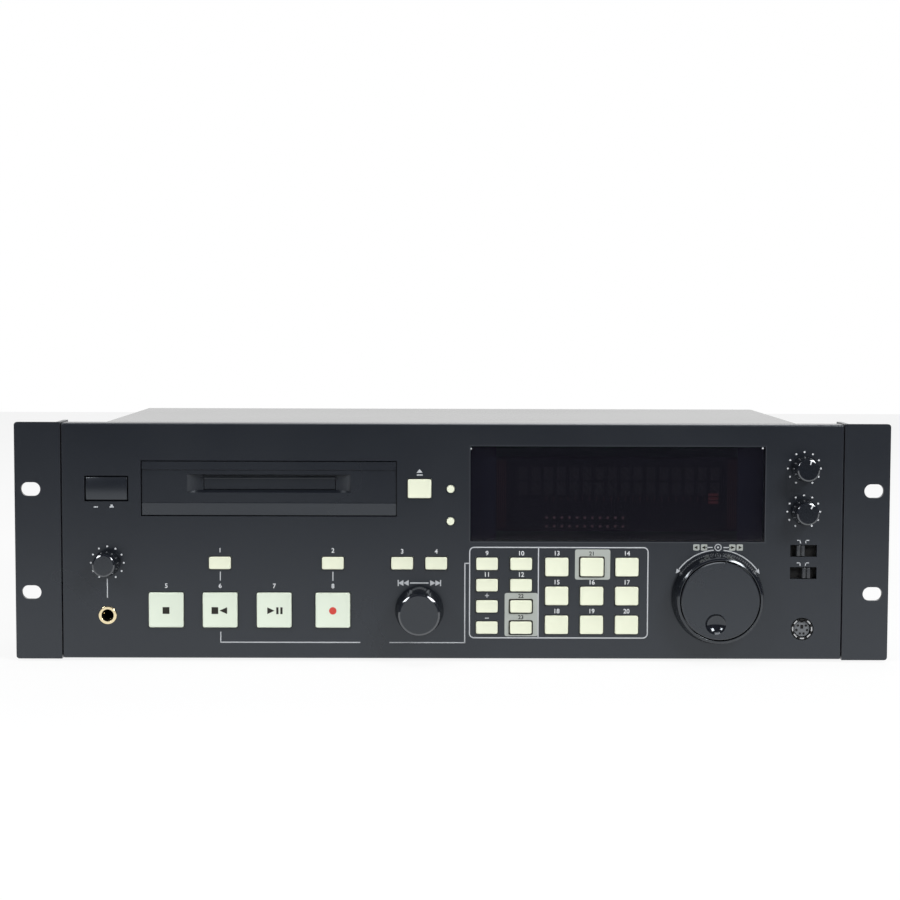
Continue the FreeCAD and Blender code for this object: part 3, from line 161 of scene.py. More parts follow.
finishes = {
    "panel": cool("panelMoulding", (0.0075, 0.0092, 0.0132), (0.27, 0.32), 0.005, 0.78),
    "bezel": cool("bezelMoulding", (0.0068, 0.0085, 0.0125), (0.25, 0.3), 0.004, 0.8),
    "ear": cool("earPaint", (0.0085, 0.0102, 0.0142), (0.27, 0.32), 0.007, 0.78, grain=1800),
    "cover": surface("coverPaint", (0.02, 0.02, 0.019), (0.026, 0.026, 0.024), (0.165, 0.19), grain=1500,
                     depth=0.005, driftSize=5.0, specular=1.0),
    "zinc": surface("zincPlate", (0.55, 0.56, 0.56), (0.66, 0.66, 0.64), (0.3, 0.42), metallic=1.0,
                    stretch=(1, 0.06, 1), grain=900, depth=0.003),
    "casting": surface("pickupCasting", (0.46, 0.46, 0.48), (0.54, 0.54, 0.55), (0.42, 0.52), metallic=1.0),
    "rubber": surface("footRubber", (0.02, 0.02, 0.02), 0.01, (0.75, 0.9), grain=700, depth=0.03),
    "screw": surface("blackScrew", (0.05, 0.05, 0.052), (0.07, 0.07, 0.07), (0.3, 0.4), metallic=0.9),
    "cream": surface("keyCream", (0.72, 0.75, 0.58), (0.76, 0.79, 0.63), (0.36, 0.42), depth=0.003),
    "white": surface("keyWhite", (0.67, 0.74, 0.62), 0.04, (0.36, 0.42), depth=0.003),
    "knob": cool("knobMoulding", (0.008, 0.0095, 0.0125), (0.13, 0.16), 0.002, 0.7),
    "rim": cool("rimPolish", (0.009, 0.0105, 0.0135), (0.08, 0.11), 0.001, 1.0, coat=1.0),
    "dial": cool("dialMoulding", (0.0095, 0.0115, 0.0155), (0.25, 0.3), 0.002, 0.8, drift=0.003),
    "ring": cool("ringMoulding", (0.007, 0.0082, 0.011), (0.09, 0.13), 0.001, 0.8),
    "lever": surface("leverMoulding", (0.03, 0.033, 0.037), 0.006, (0.3, 0.36)),
    # a lighter line round the window, painted sheen on its bevel
    "edge": cool("windowBevelSheen", (0.027, 0.03, 0.035), (0.27, 0.32), 0.004, 0.78, drift=0.004),
    "print": surface("whitePrint", (0.43, 0.45, 0.47), 0.05, depth=0.002),
    # bright print, also used for the painted highlights at the window's corners
    "dots": surface("brightPrintAndGlint", (0.6, 0.62, 0.64), 0.06, depth=0.002),
    "greyPrint": surface("greyPrint", (0.34, 0.365, 0.34), 0.03, depth=0.002),
    "darkPrint": surface("darkPrint", (0.018, 0.016, 0.012), (0.024, 0.022, 0.017), depth=0.002,
                         specular=0.3),
    "redPrint": surface("redPrint", (0.55, 0.045, 0.03), (0.62, 0.06, 0.04), (0.45, 0.55), depth=0.002),
    "window": surface("smokedWindow", (0.0075, 0.007, 0.011), 0.001, (0.05, 0.08), depth=0.0005, alpha=0.52),
    "glass": surface("tubeGlass", (0.012, 0.013, 0.018), 0.004, (0.12, 0.18), depth=0.001),
    "gold": surface("giltRing", (0.9, 0.76, 0.47), (0.95, 0.82, 0.55), (0.16, 0.24), metallic=1.0,
                    depth=0.001),
    "socket": surface("socketMoulding", (0.02, 0.02, 0.022), 0.01, (0.4, 0.5)),
    "socketGrey": surface("socketCore", (0.1, 0.107, 0.115), 0.03, (0.4, 0.5)),
    "nickel": surface("nickelShell", (0.5, 0.51, 0.52), 0.1, (0.2, 0.28), metallic=1.0, depth=0.001),
    "board": surface("solderMask", (0.02, 0.13, 0.06), (0.03, 0.17, 0.08), (0.3, 0.42), driftSize=60.0),
    "iron": surface("laminations", (0.1, 0.09, 0.08), (0.16, 0.14, 0.12), (0.4, 0.55), metallic=0.6,
                    stretch=(1, 1, 12), grain=500, depth=0.05),
    # deep black: dark parts and print, and also the painted shade in gaps, slits, slots and holes
    "hole": surface("deepBlack", (0.002, 0.002, 0.002), 0.002, (0.8, 0.9)),
    "ghost": surface("tubeSegments", (0.05, 0.045, 0.05), 0.015),
    "ghostBlue": surface("windowMask", (0.008, 0.014, 0.045), (0.011, 0.018, 0.055)),
    "ghostRed": surface("tubeRedPart", (0.24, 0.04, 0.035), (0.28, 0.05, 0.045)),
    "ghostEdge": surface("tubeEdge", (0.11, 0.03, 0.03), (0.14, 0.036, 0.036)),
    "ghostPink": surface("tubeDots", (0.3, 0.15, 0.17), (0.34, 0.18, 0.2)),
}

carried = {
    "panel": ["front_panel", "power_button"],
    "bezel": ["slot_bezel", "slot_door"],
    "ear": ["left_rack_ear", "right_rack_ear"],
    "cover": ["top_cover", "rear_panel"],
    "zinc": ["bottom_chassis", "drive_frame", "cartridge_holder", "disc_turntable", "select_plunger"],
    "casting": ["optical_pickup"],
    "rubber": ["rubber_feet"],
    "screw": ["case_screws"],
    "window": ["display_window"],
    "glass": ["display_tube"],
    "board": ["front_circuit_board", "main_circuit_board"],
    "iron": ["power_transformer"],
    "gold": ["phones_jack"],
    "socket": ["keyboard_socket", "rear_sockets"],
    "dial": ["jog_dial"],
    "ring": ["shuttle_ring"],
    "knob": ["select_knob", "phones_level_knob", "input_level_left_knob", "input_level_right_knob"],
    "lever": ["analog_digital_slider", "balance_slider"],
    "white": ["stop_button", "standby_cue_button", "play_pause_button", "record_button"],
}
carriedNames = {name for names in carried.values() for name in names}
carried["cream"] = [name for name in nodes if name.endswith("_button") and name not in carriedNames]
for finish, names in carried.items():
    for name in names:
        nodes[name].data.materials.clear()
        nodes[name].data.materials.append(finishes[finish])
print("finishes given:", len(finishes))


# Mesh helpers. Printing is drawn in millimetres on the panel's face, then placed.

# turn a mesh drawn in metres in the shared frame into a named piece that rides on a body
def piece(name, shape, finish, body, slot, smoothAngle=35.0, replaces=None):
    bmesh.ops.recalc_face_normals(shape, faces=shape.faces)
    mesh = bpy.data.meshes.new(name)
    shape.to_mesh(mesh)
    shape.free()
    mesh.materials.append(finishes[finish])
    for face in mesh.polygons:
        face.use_smooth = True
    mesh.set_sharp_from_angle(angle=math.radians(smoothAngle))
    thing = placed(name, mesh)
    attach(thing, body)
    if replaces:
        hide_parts(*replaces)


onPanel = Matrix(((mm, 0, 0, 0), (0, 0, -mm, faceY), (0, mm, 0, earLow), (0, 0, 0, 1)))


# how thick the printing stands on its face, in millimetres
ink = 0.03


def block(shape, place, *size):
    return bmesh.ops.create_cube(shape, size=1.0, matrix=place @ Matrix.Diagonal((*size, 1)))["verts"]


# a flat printed bar, drawn across and up in millimetres with its thickness out of the face
def bar(shape, x, z, wide, tall, turn=0.0, thick=ink, low=0.0):
    place = Matrix.Translation((x, z, low + thick / 2)) @ Matrix.Rotation(turn, 4, "Z")
    block(shape, place, wide, tall, thick)


# a printed dot, or a rod of any depth
def dot(shape, x, z, radius, sides=20, thick=ink, low=0.0):
    place = Matrix.Translation((x, z, low + thick / 2))
    bmesh.ops.create_cone(shape, cap_ends=True, segments=sides, radius1=radius, radius2=radius, depth=thick,
                          matrix=place)


# a printed arc; angles run clockwise from straight up, in degrees
def arc(shape, x, z, radius, wide, start, end, steps=48):
    angle = math.radians(start)
    across = Vector((math.sin(angle), math.cos(angle), 0))
    centre = Vector((x, z, 0))
    ends = [shape.verts.new(centre + across * (radius + side * wide / 2)) for side in (-1, 1)]
    rise = [shape.verts.new(vert.co + Vector((0, 0, ink))) for vert in ends]
    face = shape.faces.new((ends[0], ends[1], rise[1], rise[0]))
    bmesh.ops.spin(shape, geom=[face], cent=centre, axis=(0, 0, -1), angle=math.radians(end - start),
                   steps=steps, use_merge=abs(end - start) >= 360)


# a printed triangle whose point looks right before it is turned, in degrees anticlockwise
def wedge(shape, x, z, long, wide, turn=0.0, low=0.0):
    spin = Matrix.Translation((x, z, low + ink / 2)) @ Matrix.Rotation(math.radians(turn), 4, "Z")
    squash = Matrix.Diagonal((long / 1.5, wide / math.sqrt(3), ink, 1))
    bmesh.ops.create_cone(shape, cap_ends=True, segments=3, radius1=1, radius2=1, depth=1,
                          matrix=spin @ squash @ Matrix.Rotation(math.radians(-90), 4, "Z"))


# a printed outline with round corners
def frameLine(shape, left, right, low, high, corner, wide):
    for z in (low, high):
        bar(shape, (left + right) / 2, z, right - left - 2 * corner, wide)
    for x in (left, right):
        bar(shape, x, (low + high) / 2, wide, high - low - 2 * corner)
    for x, z, start in ((right - corner, high - corner, 0), (right - corner, low + corner, 90),
                        (left + corner, low + corner, 180), (left + corner, high - corner, 270)):
        arc(shape, x, z, corner, wide, start, start + 90, 8)


def edgesOf(verts):
    return {edge for vert in verts for edge in vert.link_edges}


def softEdge(shape, edges, offset, segments=3):
    bmesh.ops.bevel(shape, geom=list(edges), offset=offset, segments=segments, profile=0.5,
                    affect="EDGES", material=-1)


# a printed field with round corners
def plate(shape, left, right, low, high, corner, thick=ink):
    place = Matrix.Translation(((left + right) / 2, (low + high) / 2, thick / 2))
    made = block(shape, place, right - left, high - low, thick)
    upright = [edge for edge in edgesOf(made) if abs(edge.verts[0].co.z - edge.verts[1].co.z) > thick / 2]
    softEdge(shape, upright, corner, 6)


# move a drawing from millimetres on the panel to its place in the shared frame
def onFace(shape, out=0.0):
    bmesh.ops.transform(shape, matrix=onPanel @ Matrix.Translation((0, 0, out)), verts=shape.verts)
    return shape


# Turned pieces: an outline of radius and depth pairs, in millimetres from the panel's face, is spun whole.

cornerSteps = 6


# replace the numbered corners of an outline with arcs; corners maps an index to a radius
def rounded(outline, corners):
    points = []
    for index, point in enumerate(outline):
        here = Vector(point)
        if index not in corners:
            points.append(here)
            continue
        before, after = Vector(outline[index - 1]) - here, Vector(outline[index + 1]) - here
        half = before.angle(after) / 2
        reach = corners[index] / math.tan(half)
        first, last = here + before.normalized() * reach, here + after.normalized() * reach
        for step in range(cornerSteps + 1):
            share = step / cornerSteps
            points.append((1 - share) ** 2 * first + 2 * share * (1 - share) * here + share ** 2 * last)
    return points


# spin an outline about an axis through x and z on the panel. Depth grows backwards
def spun(shape, x, z, outline, sides):
    base = spot(x, z)
    rim = [shape.verts.new(base + Vector((radius * mm, depth * mm, 0))) for radius, depth in outline]
    edges = [shape.edges.new(pair) for pair in zip(rim, rim[1:])]
    bmesh.ops.spin(shape, geom=rim + edges, cent=base, axis=(0, -1, 0), angle=math.tau, steps=sides,
                   use_merge=True)
    bmesh.ops.remove_doubles(shape, verts=shape.verts, dist=0.004 * mm)
    return shape


# fine ribs laid along the side of a tapered knob, a little clear of both its rims
def ribbed(shape, x, z, look):
    near, far = look["ribNear"] - look["reach"], -look["lift"] - look["ribFar"]
    top, foot = look["face"] + look["ribOut"], look["base"] - look["ribIn"]
    count, wide, high = pick(look, "ribs ribWide ribHigh")
    lean, length = math.atan2(foot - top, far - near), math.hypot(foot - top, far - near)
    for index in range(count):
        turn = Matrix.Rotation(math.tau * index / count, 4, "Y")
        place = Matrix.Translation(spot(x, z)) @ turn @ Matrix.Translation(
            (0, (near + far) / 2 * mm, (top + foot) / 2 * mm)) @ Matrix.Rotation(lean, 4, "X")
        block(shape, place, wide * mm, length * mm, high * mm)


# Keys: a cap with soft corners and a shallow dish, a collar behind the panel and a stem

# the gap values size the painted shade line round each square key and the painted shade border round the keys
# in the grey fields
keyCap = {"collar": 1.2, "collarNear": 3.3, "collarDeep": 1.2, "corner": 1.0, "edge": 0.5, "rim": 0.4,
          "dish": 0.16, "stem": 3.0, "fieldShadeGap": 0.75, "gap": 0.4, "gapAt": 0.25}
# a cap narrower than this is round, with a flat share of its face and a soft rim
roundCap = {"under": 5.6, "dish": 0.05, "flat": 0.6, "edge": 0.3}


# a block between two depths behind the panel's face
def boxOf(shape, x, z, near, far, wide, tall):
    place = Matrix.Translation(spot(x, z, -(near + far) / 2))
    return block(shape, place, wide * mm, (far - near) * mm, tall * mm)


# a cap's width and height, without the collar behind it
def capSize(name):
    left, right, low, high = extent(name, -keyCap["collar"])
    return right - left, high - low


def collarAndStem(shape, x, z, wide, tall, end):
    near, rim = keyCap["collarNear"], 2 * keyCap["collar"]
    far = near + keyCap["collarDeep"]
    boxOf(shape, x, z, near, far, wide + rim, tall + rim)
    boxOf(shape, x, z, far, end, keyCap["stem"], keyCap["stem"])


def roundKey(shape, x, z, radius, front, end):
    near, collar, stem = keyCap["collarNear"], radius + keyCap["collar"], keyCap["stem"] / 2
    far = near + keyCap["collarDeep"]
    outline = [(0, front - roundCap["dish"]), (radius * roundCap["flat"], front), (radius, front),
               (radius, near), (collar, near), (collar, far), (stem, far), (stem, end), (0, end)]
    spun(shape, x, z, rounded(outline, {2: roundCap["edge"]}), 40)


def squareKey(shape, x, z, wide, tall, front, end):
    cap = boxOf(shape, x, z, front, keyCap["collarNear"], wide, tall)
    softEdge(shape, [edge for edge in edgesOf(cap) if abs(edge.verts[0].co.y - edge.verts[1].co.y) > mm],
             keyCap["corner"] * mm, 5)
    face = min(shape.faces, key=lambda one: one.calc_center_median().y)
    softEdge(shape, face.edges, keyCap["edge"] * mm, 4)
    face = min(shape.faces, key=lambda one: (round(one.calc_center_median().y, 7), -one.calc_area()))
    bmesh.ops.inset_region(shape, faces=[face], thickness=keyCap["rim"] * mm, depth=0)
    bmesh.ops.translate(shape, verts=face.verts, vec=(0, keyCap["dish"] * mm, 0))
    collarAndStem(shape, x, z, wide, tall, end)


def keyCaps():
    for name in carried["cream"] + carried["white"]:
        wide, tall = capSize(name)
        shape = bmesh.new()
        if wide < roundCap["under"]:
            roundKey(shape, *centreOf(name), wide / 2, *depths(name))
        else:
            squareKey(shape, *centreOf(name), wide, tall, *depths(name))
        finish = "white" if name in carried["white"] else "cream"
        piece(name + "_look", shape, finish, name, "key_cream", replaces=[name])


# the power key's face bulges a little between its upper and lower edges
powerKey = {"bulge": 0.66, "rows": 15, "edge": 0.3, "flat": 0.9}


def powerCap():
    x, z = centreOf("power_button")
    wide, tall = capSize("power_button")
    front, end = depths("power_button")
    front += powerKey["bulge"]
    shape = bmesh.new()
    boxOf(shape, x, z, front, keyCap["collarNear"], wide, tall)
    upright = [edge for edge in shape.edges if abs(edge.verts[0].co.z - edge.verts[1].co.z) > mm]
    bmesh.ops.subdivide_edges(shape, edges=upright, cuts=powerKey["rows"], use_grid_fill=True)
    centre = spot(x, z, -front)
    for vert in shape.verts:
        if abs(vert.co.y - centre.y) < 0.01 * mm:
            share = (vert.co.z - centre.z) / (tall * mm / 2)
            vert.co.y -= powerKey["bulge"] * mm * (1 - share * share)
    shape.normal_update()
    rim = [edge for edge in shape.edges
           if sorted(face.normal.y < -powerKey["flat"] for face in edge.link_faces) == [False, True]]
    softEdge(shape, rim, powerKey["edge"] * mm)
    collarAndStem(shape, x, z, wide, tall, end)
    piece("power_button_look", shape, "panel", "power_button", "knob_black", replaces=["power_button"])


# a thin deep black frame round each square key: painted shade of the gap between the key and its hole
def keyGaps():
    shape = bmesh.new()
    for name in carried["cream"] + carried["white"]:
        if capSize(name)[0] > roundCap["under"]:
            frameLine(shape, *extent(name, keyCap["gapAt"] - keyCap["collar"]), keyCap["corner"],
                      keyCap["gap"])
    piece("keyGaps", onFace(shape), "hole", "case", "knob_black")


keyCaps()
powerCap()
keyGaps()
print("keys built")


# Printing on the panel

grid = {"left": 9.47, "right": 108.03, "low": 12.13, "high": 62.53, "corner": 2.5, "line": 0.62,
        "divider": 47.47}
knobDots = {"circle": 9.1, "radius": 0.52, "first": -150, "step": 30, "count": 11}
links = {"phones": (-190.7, 39.3, 0.55, 10.6), "cue": (-128.3, 46.2, 0.55, 5.0),
         "level": (-66.1, 46.2, 0.55, 5.0)}
preset = {"line": 0.6, "standbyX": -128.2, "low": 9.37, "keyLow": 14.9, "gapLeft": -51.0, "gapRight": -34.9,
          "turnX": 6.83, "high": 53.63}
skip = {"z": 42.6, "stops": (-30.0, -6.6), "stopTall": 3.4, "arrows": ((-28.1, 180), (-25.2, 180), (-11.4, 0),
        (-8.5, 0)), "long": 2.9, "wide": 3.2, "lineX": -18.4, "lineLong": 10.2, "line": 0.7}
jogScale = {"x": 146.7, "z": 34.6, "circle": 26.75, "line": 0.6, "gapLeft": -5.2, "gapRight": 6.4,
            "startLeft": -53.5, "startRight": 53.5, "rowZ": 62.75, "arrowLong": 2.6, "arrowWide": 2.4,
            "arrowAhead": 2.5, "dashAt": 5.0, "dashLong": 4.0, "eye": 1.75, "eyeLine": 0.5, "eyeDot": 0.55}
brackets = {"x": 193.7, "rows": (66.1, 53.6), "reach": 1.5, "tall": 1.9, "arm": 1.6, "line": 0.5}
ejectMark = {"x": -18.3, "arrowZ": 104.4, "long": 2.0, "wide": 3.4, "barZ": 102.5, "line": 0.6}
powerMarks = {"inX": -196.6, "outX": -187.9, "z": 84.4, "long": 2.3, "line": 0.6, "block": (1.2, 1.0)}
pitchMarks = {"x": 19.1, "plusZ": 35.7, "minusZ": 23.1, "long": 2.2, "line": 0.55}


def panelPrint():
    shape = bmesh.new()
    frameLine(shape, grid["left"], grid["right"], grid["low"], grid["high"], grid["corner"], grid["line"])
    bar(shape, grid["divider"], (grid["low"] + grid["high"]) / 2, grid["line"], grid["high"] - grid["low"])
    for place in links.values():
        bar(shape, *place)
    # the preset line, with a gap in the middle
    line, low, high, turnX = pick(preset, "line low high turnX")
    for near, far, z in ((preset["standbyX"], preset["gapLeft"], low), (preset["gapRight"], turnX, low),
                         (turnX, grid["left"], high)):
        bar(shape, (near + far) / 2, z, far - near, line)
    for x, top in ((preset["standbyX"], preset["keyLow"]), (turnX, high)):
        bar(shape, x, (low + top) / 2, line, top - low + line)
    # skip marks over the select knob
    for x in skip["stops"]:
        bar(shape, x, skip["z"], line, skip["stopTall"])
    for x, turn in skip["arrows"]:
        wedge(shape, x, skip["z"], skip["long"], skip["wide"], turn)
    bar(shape, skip["lineX"], skip["z"], skip["lineLong"], skip["line"])
    # the arc round the shuttle ring and its marks
    look = jogScale
    x, z, row, circle, line = pick(look, "x z rowZ circle line")
    for start, end in ((look["startLeft"], look["gapLeft"]), (look["gapRight"], look["startRight"])):
        arc(shape, x, z, circle, line, start, end)
    for side in (-1, 1):
        angle = math.radians(look["startRight"] + look["arrowAhead"]) * side
        wedge(shape, *around(x, z, circle, angle), look["arrowLong"], look["arrowWide"],
              math.degrees(-angle) + (180 if side < 0 else 0))
        bar(shape, x + side * look["dashAt"], row, look["dashLong"], line)
    arc(shape, x, row, look["eye"], look["eyeLine"], 0, 360, steps=28)
    dot(shape, x, row, look["eyeDot"])
    # brackets over the slide switches
    x, reach, tall, arm, line = pick(brackets, "x reach tall arm line")
    for z in brackets["rows"]:
        for side in (-1, 1):
            bar(shape, x + side * reach, z, line, tall)
            bar(shape, x + side * (reach + arm / 2), z + (tall - line) / 2, arm + line, line)
    x, arrowZ, long, wide, barZ, line = pick(ejectMark, "x arrowZ long wide barZ line")
    wedge(shape, x, arrowZ, long, wide, 90)
    bar(shape, x, barZ, wide, line)
    # pressed and released, under the power key
    inX, outX, z, long, line, (across, tall) = pick(powerMarks, "inX outX z long line block")
    for x in (inX, outX):
        bar(shape, x, z, long, line)
    bar(shape, outX, z + (line + tall) / 2, across, tall)
    x, plusZ, minusZ, long, line = pick(pitchMarks, "x plusZ minusZ long line")
    for z in (plusZ, minusZ):
        bar(shape, x, z, long, line)
    bar(shape, x, plusZ, line, long)
    piece("panelPrint", onFace(shape), "print", "case", "key_cream")


def scaleDots():
    shape = bmesh.new()
    for knob in ("phones_level_knob", "input_level_left_knob", "input_level_right_knob"):
        for index in range(knobDots["count"]):
            angle = math.radians(knobDots["first"] + index * knobDots["step"])
            dot(shape, *around(*centreOf(knob), knobDots["circle"], angle), knobDots["radius"])
    piece("scaleDots", onFace(shape), "dots", "case", "key_cream")


fields = {"presets": (28.9, 47.2, 13.0, 37.2), "erase": (67.7, 87.15, 44.7, 61.5), "corner": 1.2,
          "tile": 1.75, "tileCorner": 0.6, "tiles": ((134.7, 180), (139.0, 180), (154.6, 0), (158.7, 0)),
          "keyCorner": 1.0, "keyThick": 0.04, "arrowLong": 1.9, "arrowWide": 2.0}


def greyFields():
    shape = bmesh.new()
    for name in ("presets", "erase"):
        plate(shape, *fields[name], fields["corner"])
    half, row = fields["tile"], jogScale["rowZ"]
    for x, turn in fields["tiles"]:
        plate(shape, x - half, x + half, row - half, row + half, fields["tileCorner"])
    piece("panelFields", onFace(shape), "greyPrint", "case", "key_cream")


def searchMarks():
    shape = bmesh.new()
    # each key in the grey fields gets a dark border, painted shade of the gap round the key; the wedges below
    # are print
    for name in ("erase_button", "preset_a_button", "preset_b_button"):
        plate(shape, *extent(name, keyCap["fieldShadeGap"] - keyCap["collar"]), fields["keyCorner"],
              fields["keyThick"])
    for x, turn in fields["tiles"]:
        wedge(shape, x, jogScale["rowZ"], fields["arrowLong"], fields["arrowWide"], turn, ink)
    piece("searchMarks", onFace(shape), "darkPrint", "case", "knob_black")


# plain numbers stand where each key has its label, each at its own gap over the key
numberGap = {"cue_search": 1.2, "level_start": 1.2, "program_play": 0.8, "program_in": 0.8, "stop": 1.3,
             "standby_cue": 1.3, "play_pause": 1.3, "record": 1.3, "others": 0.1}
numberPrint = {"bolder": 0.05, "thick": 0.02, "lift": 0.05}


def numbers(name, first, finish, size, labels):
    shape = bmesh.new()
    for index, label in enumerate(labels, start=first):
        low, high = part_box(label + "_button")
        text = bpy.data.curves.new("number", "FONT")
        text.body = str(index)
        text.size = size * mm
        text.align_x = "CENTER"
        text.offset = numberPrint["bolder"] * mm
        text.extrude = numberPrint["thick"] * mm
        thing = placed("number", text)
        bpy.context.view_layer.update()
        mesh = bpy.data.meshes.new_from_object(thing)
        gap = numberGap.get(label, numberGap["others"]) * mm
        place = Matrix.Translation(((low.x + high.x) / 2, faceY - numberPrint["lift"] * mm, high.z + gap))
        mesh.transform(place @ Matrix.Rotation(math.radians(90), 4, "X"))
        shape.from_mesh(mesh)
        bpy.data.objects.remove(thing)
        bpy.data.meshes.remove(mesh)
    piece(name, shape, finish, "case", "key_cream")


panelPrint()
scaleDots()
greyFields()
searchMarks()
numbers("panelNumbers", 1, "dots", 3.5,
        ["cue_search", "level_start", "program_play", "program_in", "stop", "standby_cue", "play_pause",
         "record", "play_mode", "end_monitor", "pitch", "repeat", "move", "edit", "combine", "divide",
         "toc_write", "insert", "cue_write", "title"])
numbers("fieldNumbers", 21, "hole", 3.1, ["erase", "preset_a", "preset_b"])
print("panel printed")


# Marks on the large keys

keyMark = {"tall": 3.8, "down": 0.2, "squareAt": -2.8, "square": 3.7, "backAt": 2.6, "backLong": 4.2,
           "playAt": -2.4, "playLong": 4.0, "barsAt": (1.85, 4.1), "bar": 1.25, "dot": 2.06}


def keyMarks():
    look = keyMark
    out = -depths("stop_button")[0] - keyCap["dish"]

    def finished(key, name, shape, finish="darkPrint"):
        x, z = centreOf(key)
        bmesh.ops.translate(shape, verts=shape.verts, vec=(x, z - look["down"], 0))
        piece(name, onFace(shape, out), finish, key, "knob_black")

    shape = bmesh.new()
    bar(shape, 0, 0, look["tall"], look["tall"])
    finished("stop_button", "stopMark", shape)
    shape = bmesh.new()
    bar(shape, look["squareAt"], 0, look["square"], look["tall"])
    wedge(shape, look["backAt"], 0, look["backLong"], look["tall"], 180)
    finished("standby_cue_button", "standbyMark", shape)
    shape = bmesh.new()
    wedge(shape, look["playAt"], 0, look["playLong"], look["tall"])
    for x in look["barsAt"]:
        bar(shape, x, 0, look["bar"], look["tall"])
    finished("play_pause_button", "playMark", shape)
    shape = bmesh.new()
    dot(shape, 0, 0, look["dot"], 32)
    finished("record_button", "recordMark", shape, "redPrint")


keyMarks()


# Knobs: tapered sides with fine ribs and a rounded rim

levelKnob = {"face": 6.1, "base": 7.25, "reach": 13.5, "lift": 0.8, "rim": 0.75, "drop": 0.42, "soft": 0.3,
             "hub": 3.0, "hubEnd": 14.0, "ribs": 40, "ribWide": 0.32, "ribHigh": 0.22, "ribNear": 1.6,
             "ribFar": 0.6, "ribOut": 0.13, "ribIn": 0.06, "pointerAt": 4.25, "pointerWide": 0.6,
             "pointerLong": 2.2,
             "turns": {"phones_level_knob": None, "input_level_left_knob": 15, "input_level_right_knob": 28}}


# the polished edge round a knob's face, a thin band laid on its chamfer
def rimBand(x, z, look, proud=0.02, deep=0.12, bow=0.4):
    reach, face, rim, drop = pick(look, "reach face rim drop")
    near = -reach
    outline = [(face - rim, near + deep), (face - rim, near - proud),
               (face - rim / 2, near + drop * bow - proud), (face + proud, near + drop - proud),
               (face - deep, near + drop + deep), (face - rim, near + deep)]
    return spun(bmesh.new(), x, z, outline, 128)


# a knob with its ribs and rim. boreEnd is where the stem, or the hollow for its shaft, ends
def turnedKnob(name, look, bore, boreEnd, sides):
    x, z = centreOf(name)
    reach, lift, face, rim, drop, base, soft = pick(look, "reach lift face rim drop base soft")
    outline = [(0, -reach), (face - rim, -reach), (face, drop - reach), (base, -lift), (bore, -lift),
               (bore, boreEnd), (0, boreEnd)]
    shape = spun(bmesh.new(), x, z, rounded(outline, {2: soft, 3: soft}), sides)
    ribbed(shape, x, z, look)
    piece(name + "_look", shape, "knob", name, "knob_black", 20, replaces=[name])
    piece(name.replace("_knob", "_rim"), rimBand(x, z, look), "rim", name, "knob_black", 20)


def levelKnobs():
    look = levelKnob
    for name, turn in look["turns"].items():
        turnedKnob(name, look, look["hub"], look["hubEnd"], 96)
        if turn is None:  # its pointer is a groove too fine to see
            continue
        mark = bmesh.new()
        bar(mark, 0, look["pointerAt"], look["pointerWide"], look["pointerLong"])
        bmesh.ops.rotate(mark, verts=mark.verts, cent=(0, 0, 0),
                         matrix=Matrix.Rotation(math.radians(-turn), 3, "Z"))
        bmesh.ops.translate(mark, verts=mark.verts, vec=(*centreOf(name), 0))
        piece(name.replace("_knob", "_pointer"), onFace(mark, look["reach"]), "dots", name, "key_cream")


selectKnob = {"face": 11.3, "base": 13.45, "reach": 19.0, "lift": 1.4, "rim": 0.95, "drop": 0.53, "wall": 4.5,
              "bore": 3.3, "soft": 0.4, "ribs": 72, "ribWide": 0.5, "ribHigh": 0.24, "ribNear": 2.4,
              "ribFar": 1.0, "ribOut": 0.3, "ribIn": 0.1}


def selectDial():
    look = selectKnob
    turnedKnob("select_knob", look, look["bore"], look["wall"] - look["reach"], 128)


shuttle = {"well": 22.15, "face": 23.65, "base": 25.5, "reach": 12.0, "lift": 0.8, "web": 3.0, "hub": 6.0,
           "hubEnd": 8.0, "bore": 3.3, "flat": 0.35, "drop": 0.64, "lip": 0.2, "soft": 0.5, "ribs": 120,
           "ribWide": 0.5, "ribHigh": 0.22, "ribNear": 2.6, "ribFar": 1.2, "ribOut": 0.28, "ribIn": 0.1}


def shuttleRing():
    look = shuttle
    x, z = centreOf("shuttle_ring")
    well, face, base, reach, lift, web = pick(look, "well face base reach lift web")
    hub, hubEnd, bore, flat, drop, lip, soft = pick(look, "hub hubEnd bore flat drop lip soft")
    outline = [(well, -web), (well, -reach), (well + flat, -reach), (face, drop - reach), (base, -lift),
               (hub, -lift), (hub, hubEnd), (bore, hubEnd), (bore, -web), (well, -web)]
    shape = spun(bmesh.new(), x, z, rounded(outline, {1: lip, 3: soft, 4: soft}), 180)
    ribbed(shape, x, z, look)
    piece("shuttle_ring_look", shape, "ring", "shuttle_ring", "knob_black", 20, replaces=["shuttle_ring"])


# the dial's finger dimple is polished, a thin shell on the hollow of the solid
dimple = {"across": -2.5, "up": -12.7, "out": 4.82, "ball": 7.5, "proud": 0.03, "deep": 0.12, "steps": 12}


def fingerDimple():
    x, z = centreOf("jog_dial")
    out, ball, steps = pick(dimple, "out ball steps")
    middleY = depths("jog_dial")[0] - out
    angles = [math.acos(out / ball) * index / steps for index in range(steps + 1)]
    near, back = ball - dimple["proud"], ball + dimple["deep"]
    outline = [(near * math.sin(angle), middleY + near * math.cos(angle)) for angle in angles]
    outline += [(back * math.sin(angle), middleY + back * math.cos(angle)) for angle in reversed(angles)]
    shape = spun(bmesh.new(), x + dimple["across"], z + dimple["up"], outline, 64)
    piece("fingerDimple", shape, "ring", "jog_dial", "knob_black", 40)


levelKnobs()
selectDial()
shuttleRing()
fingerDimple()
print("knobs turned")


# Sockets on the panel

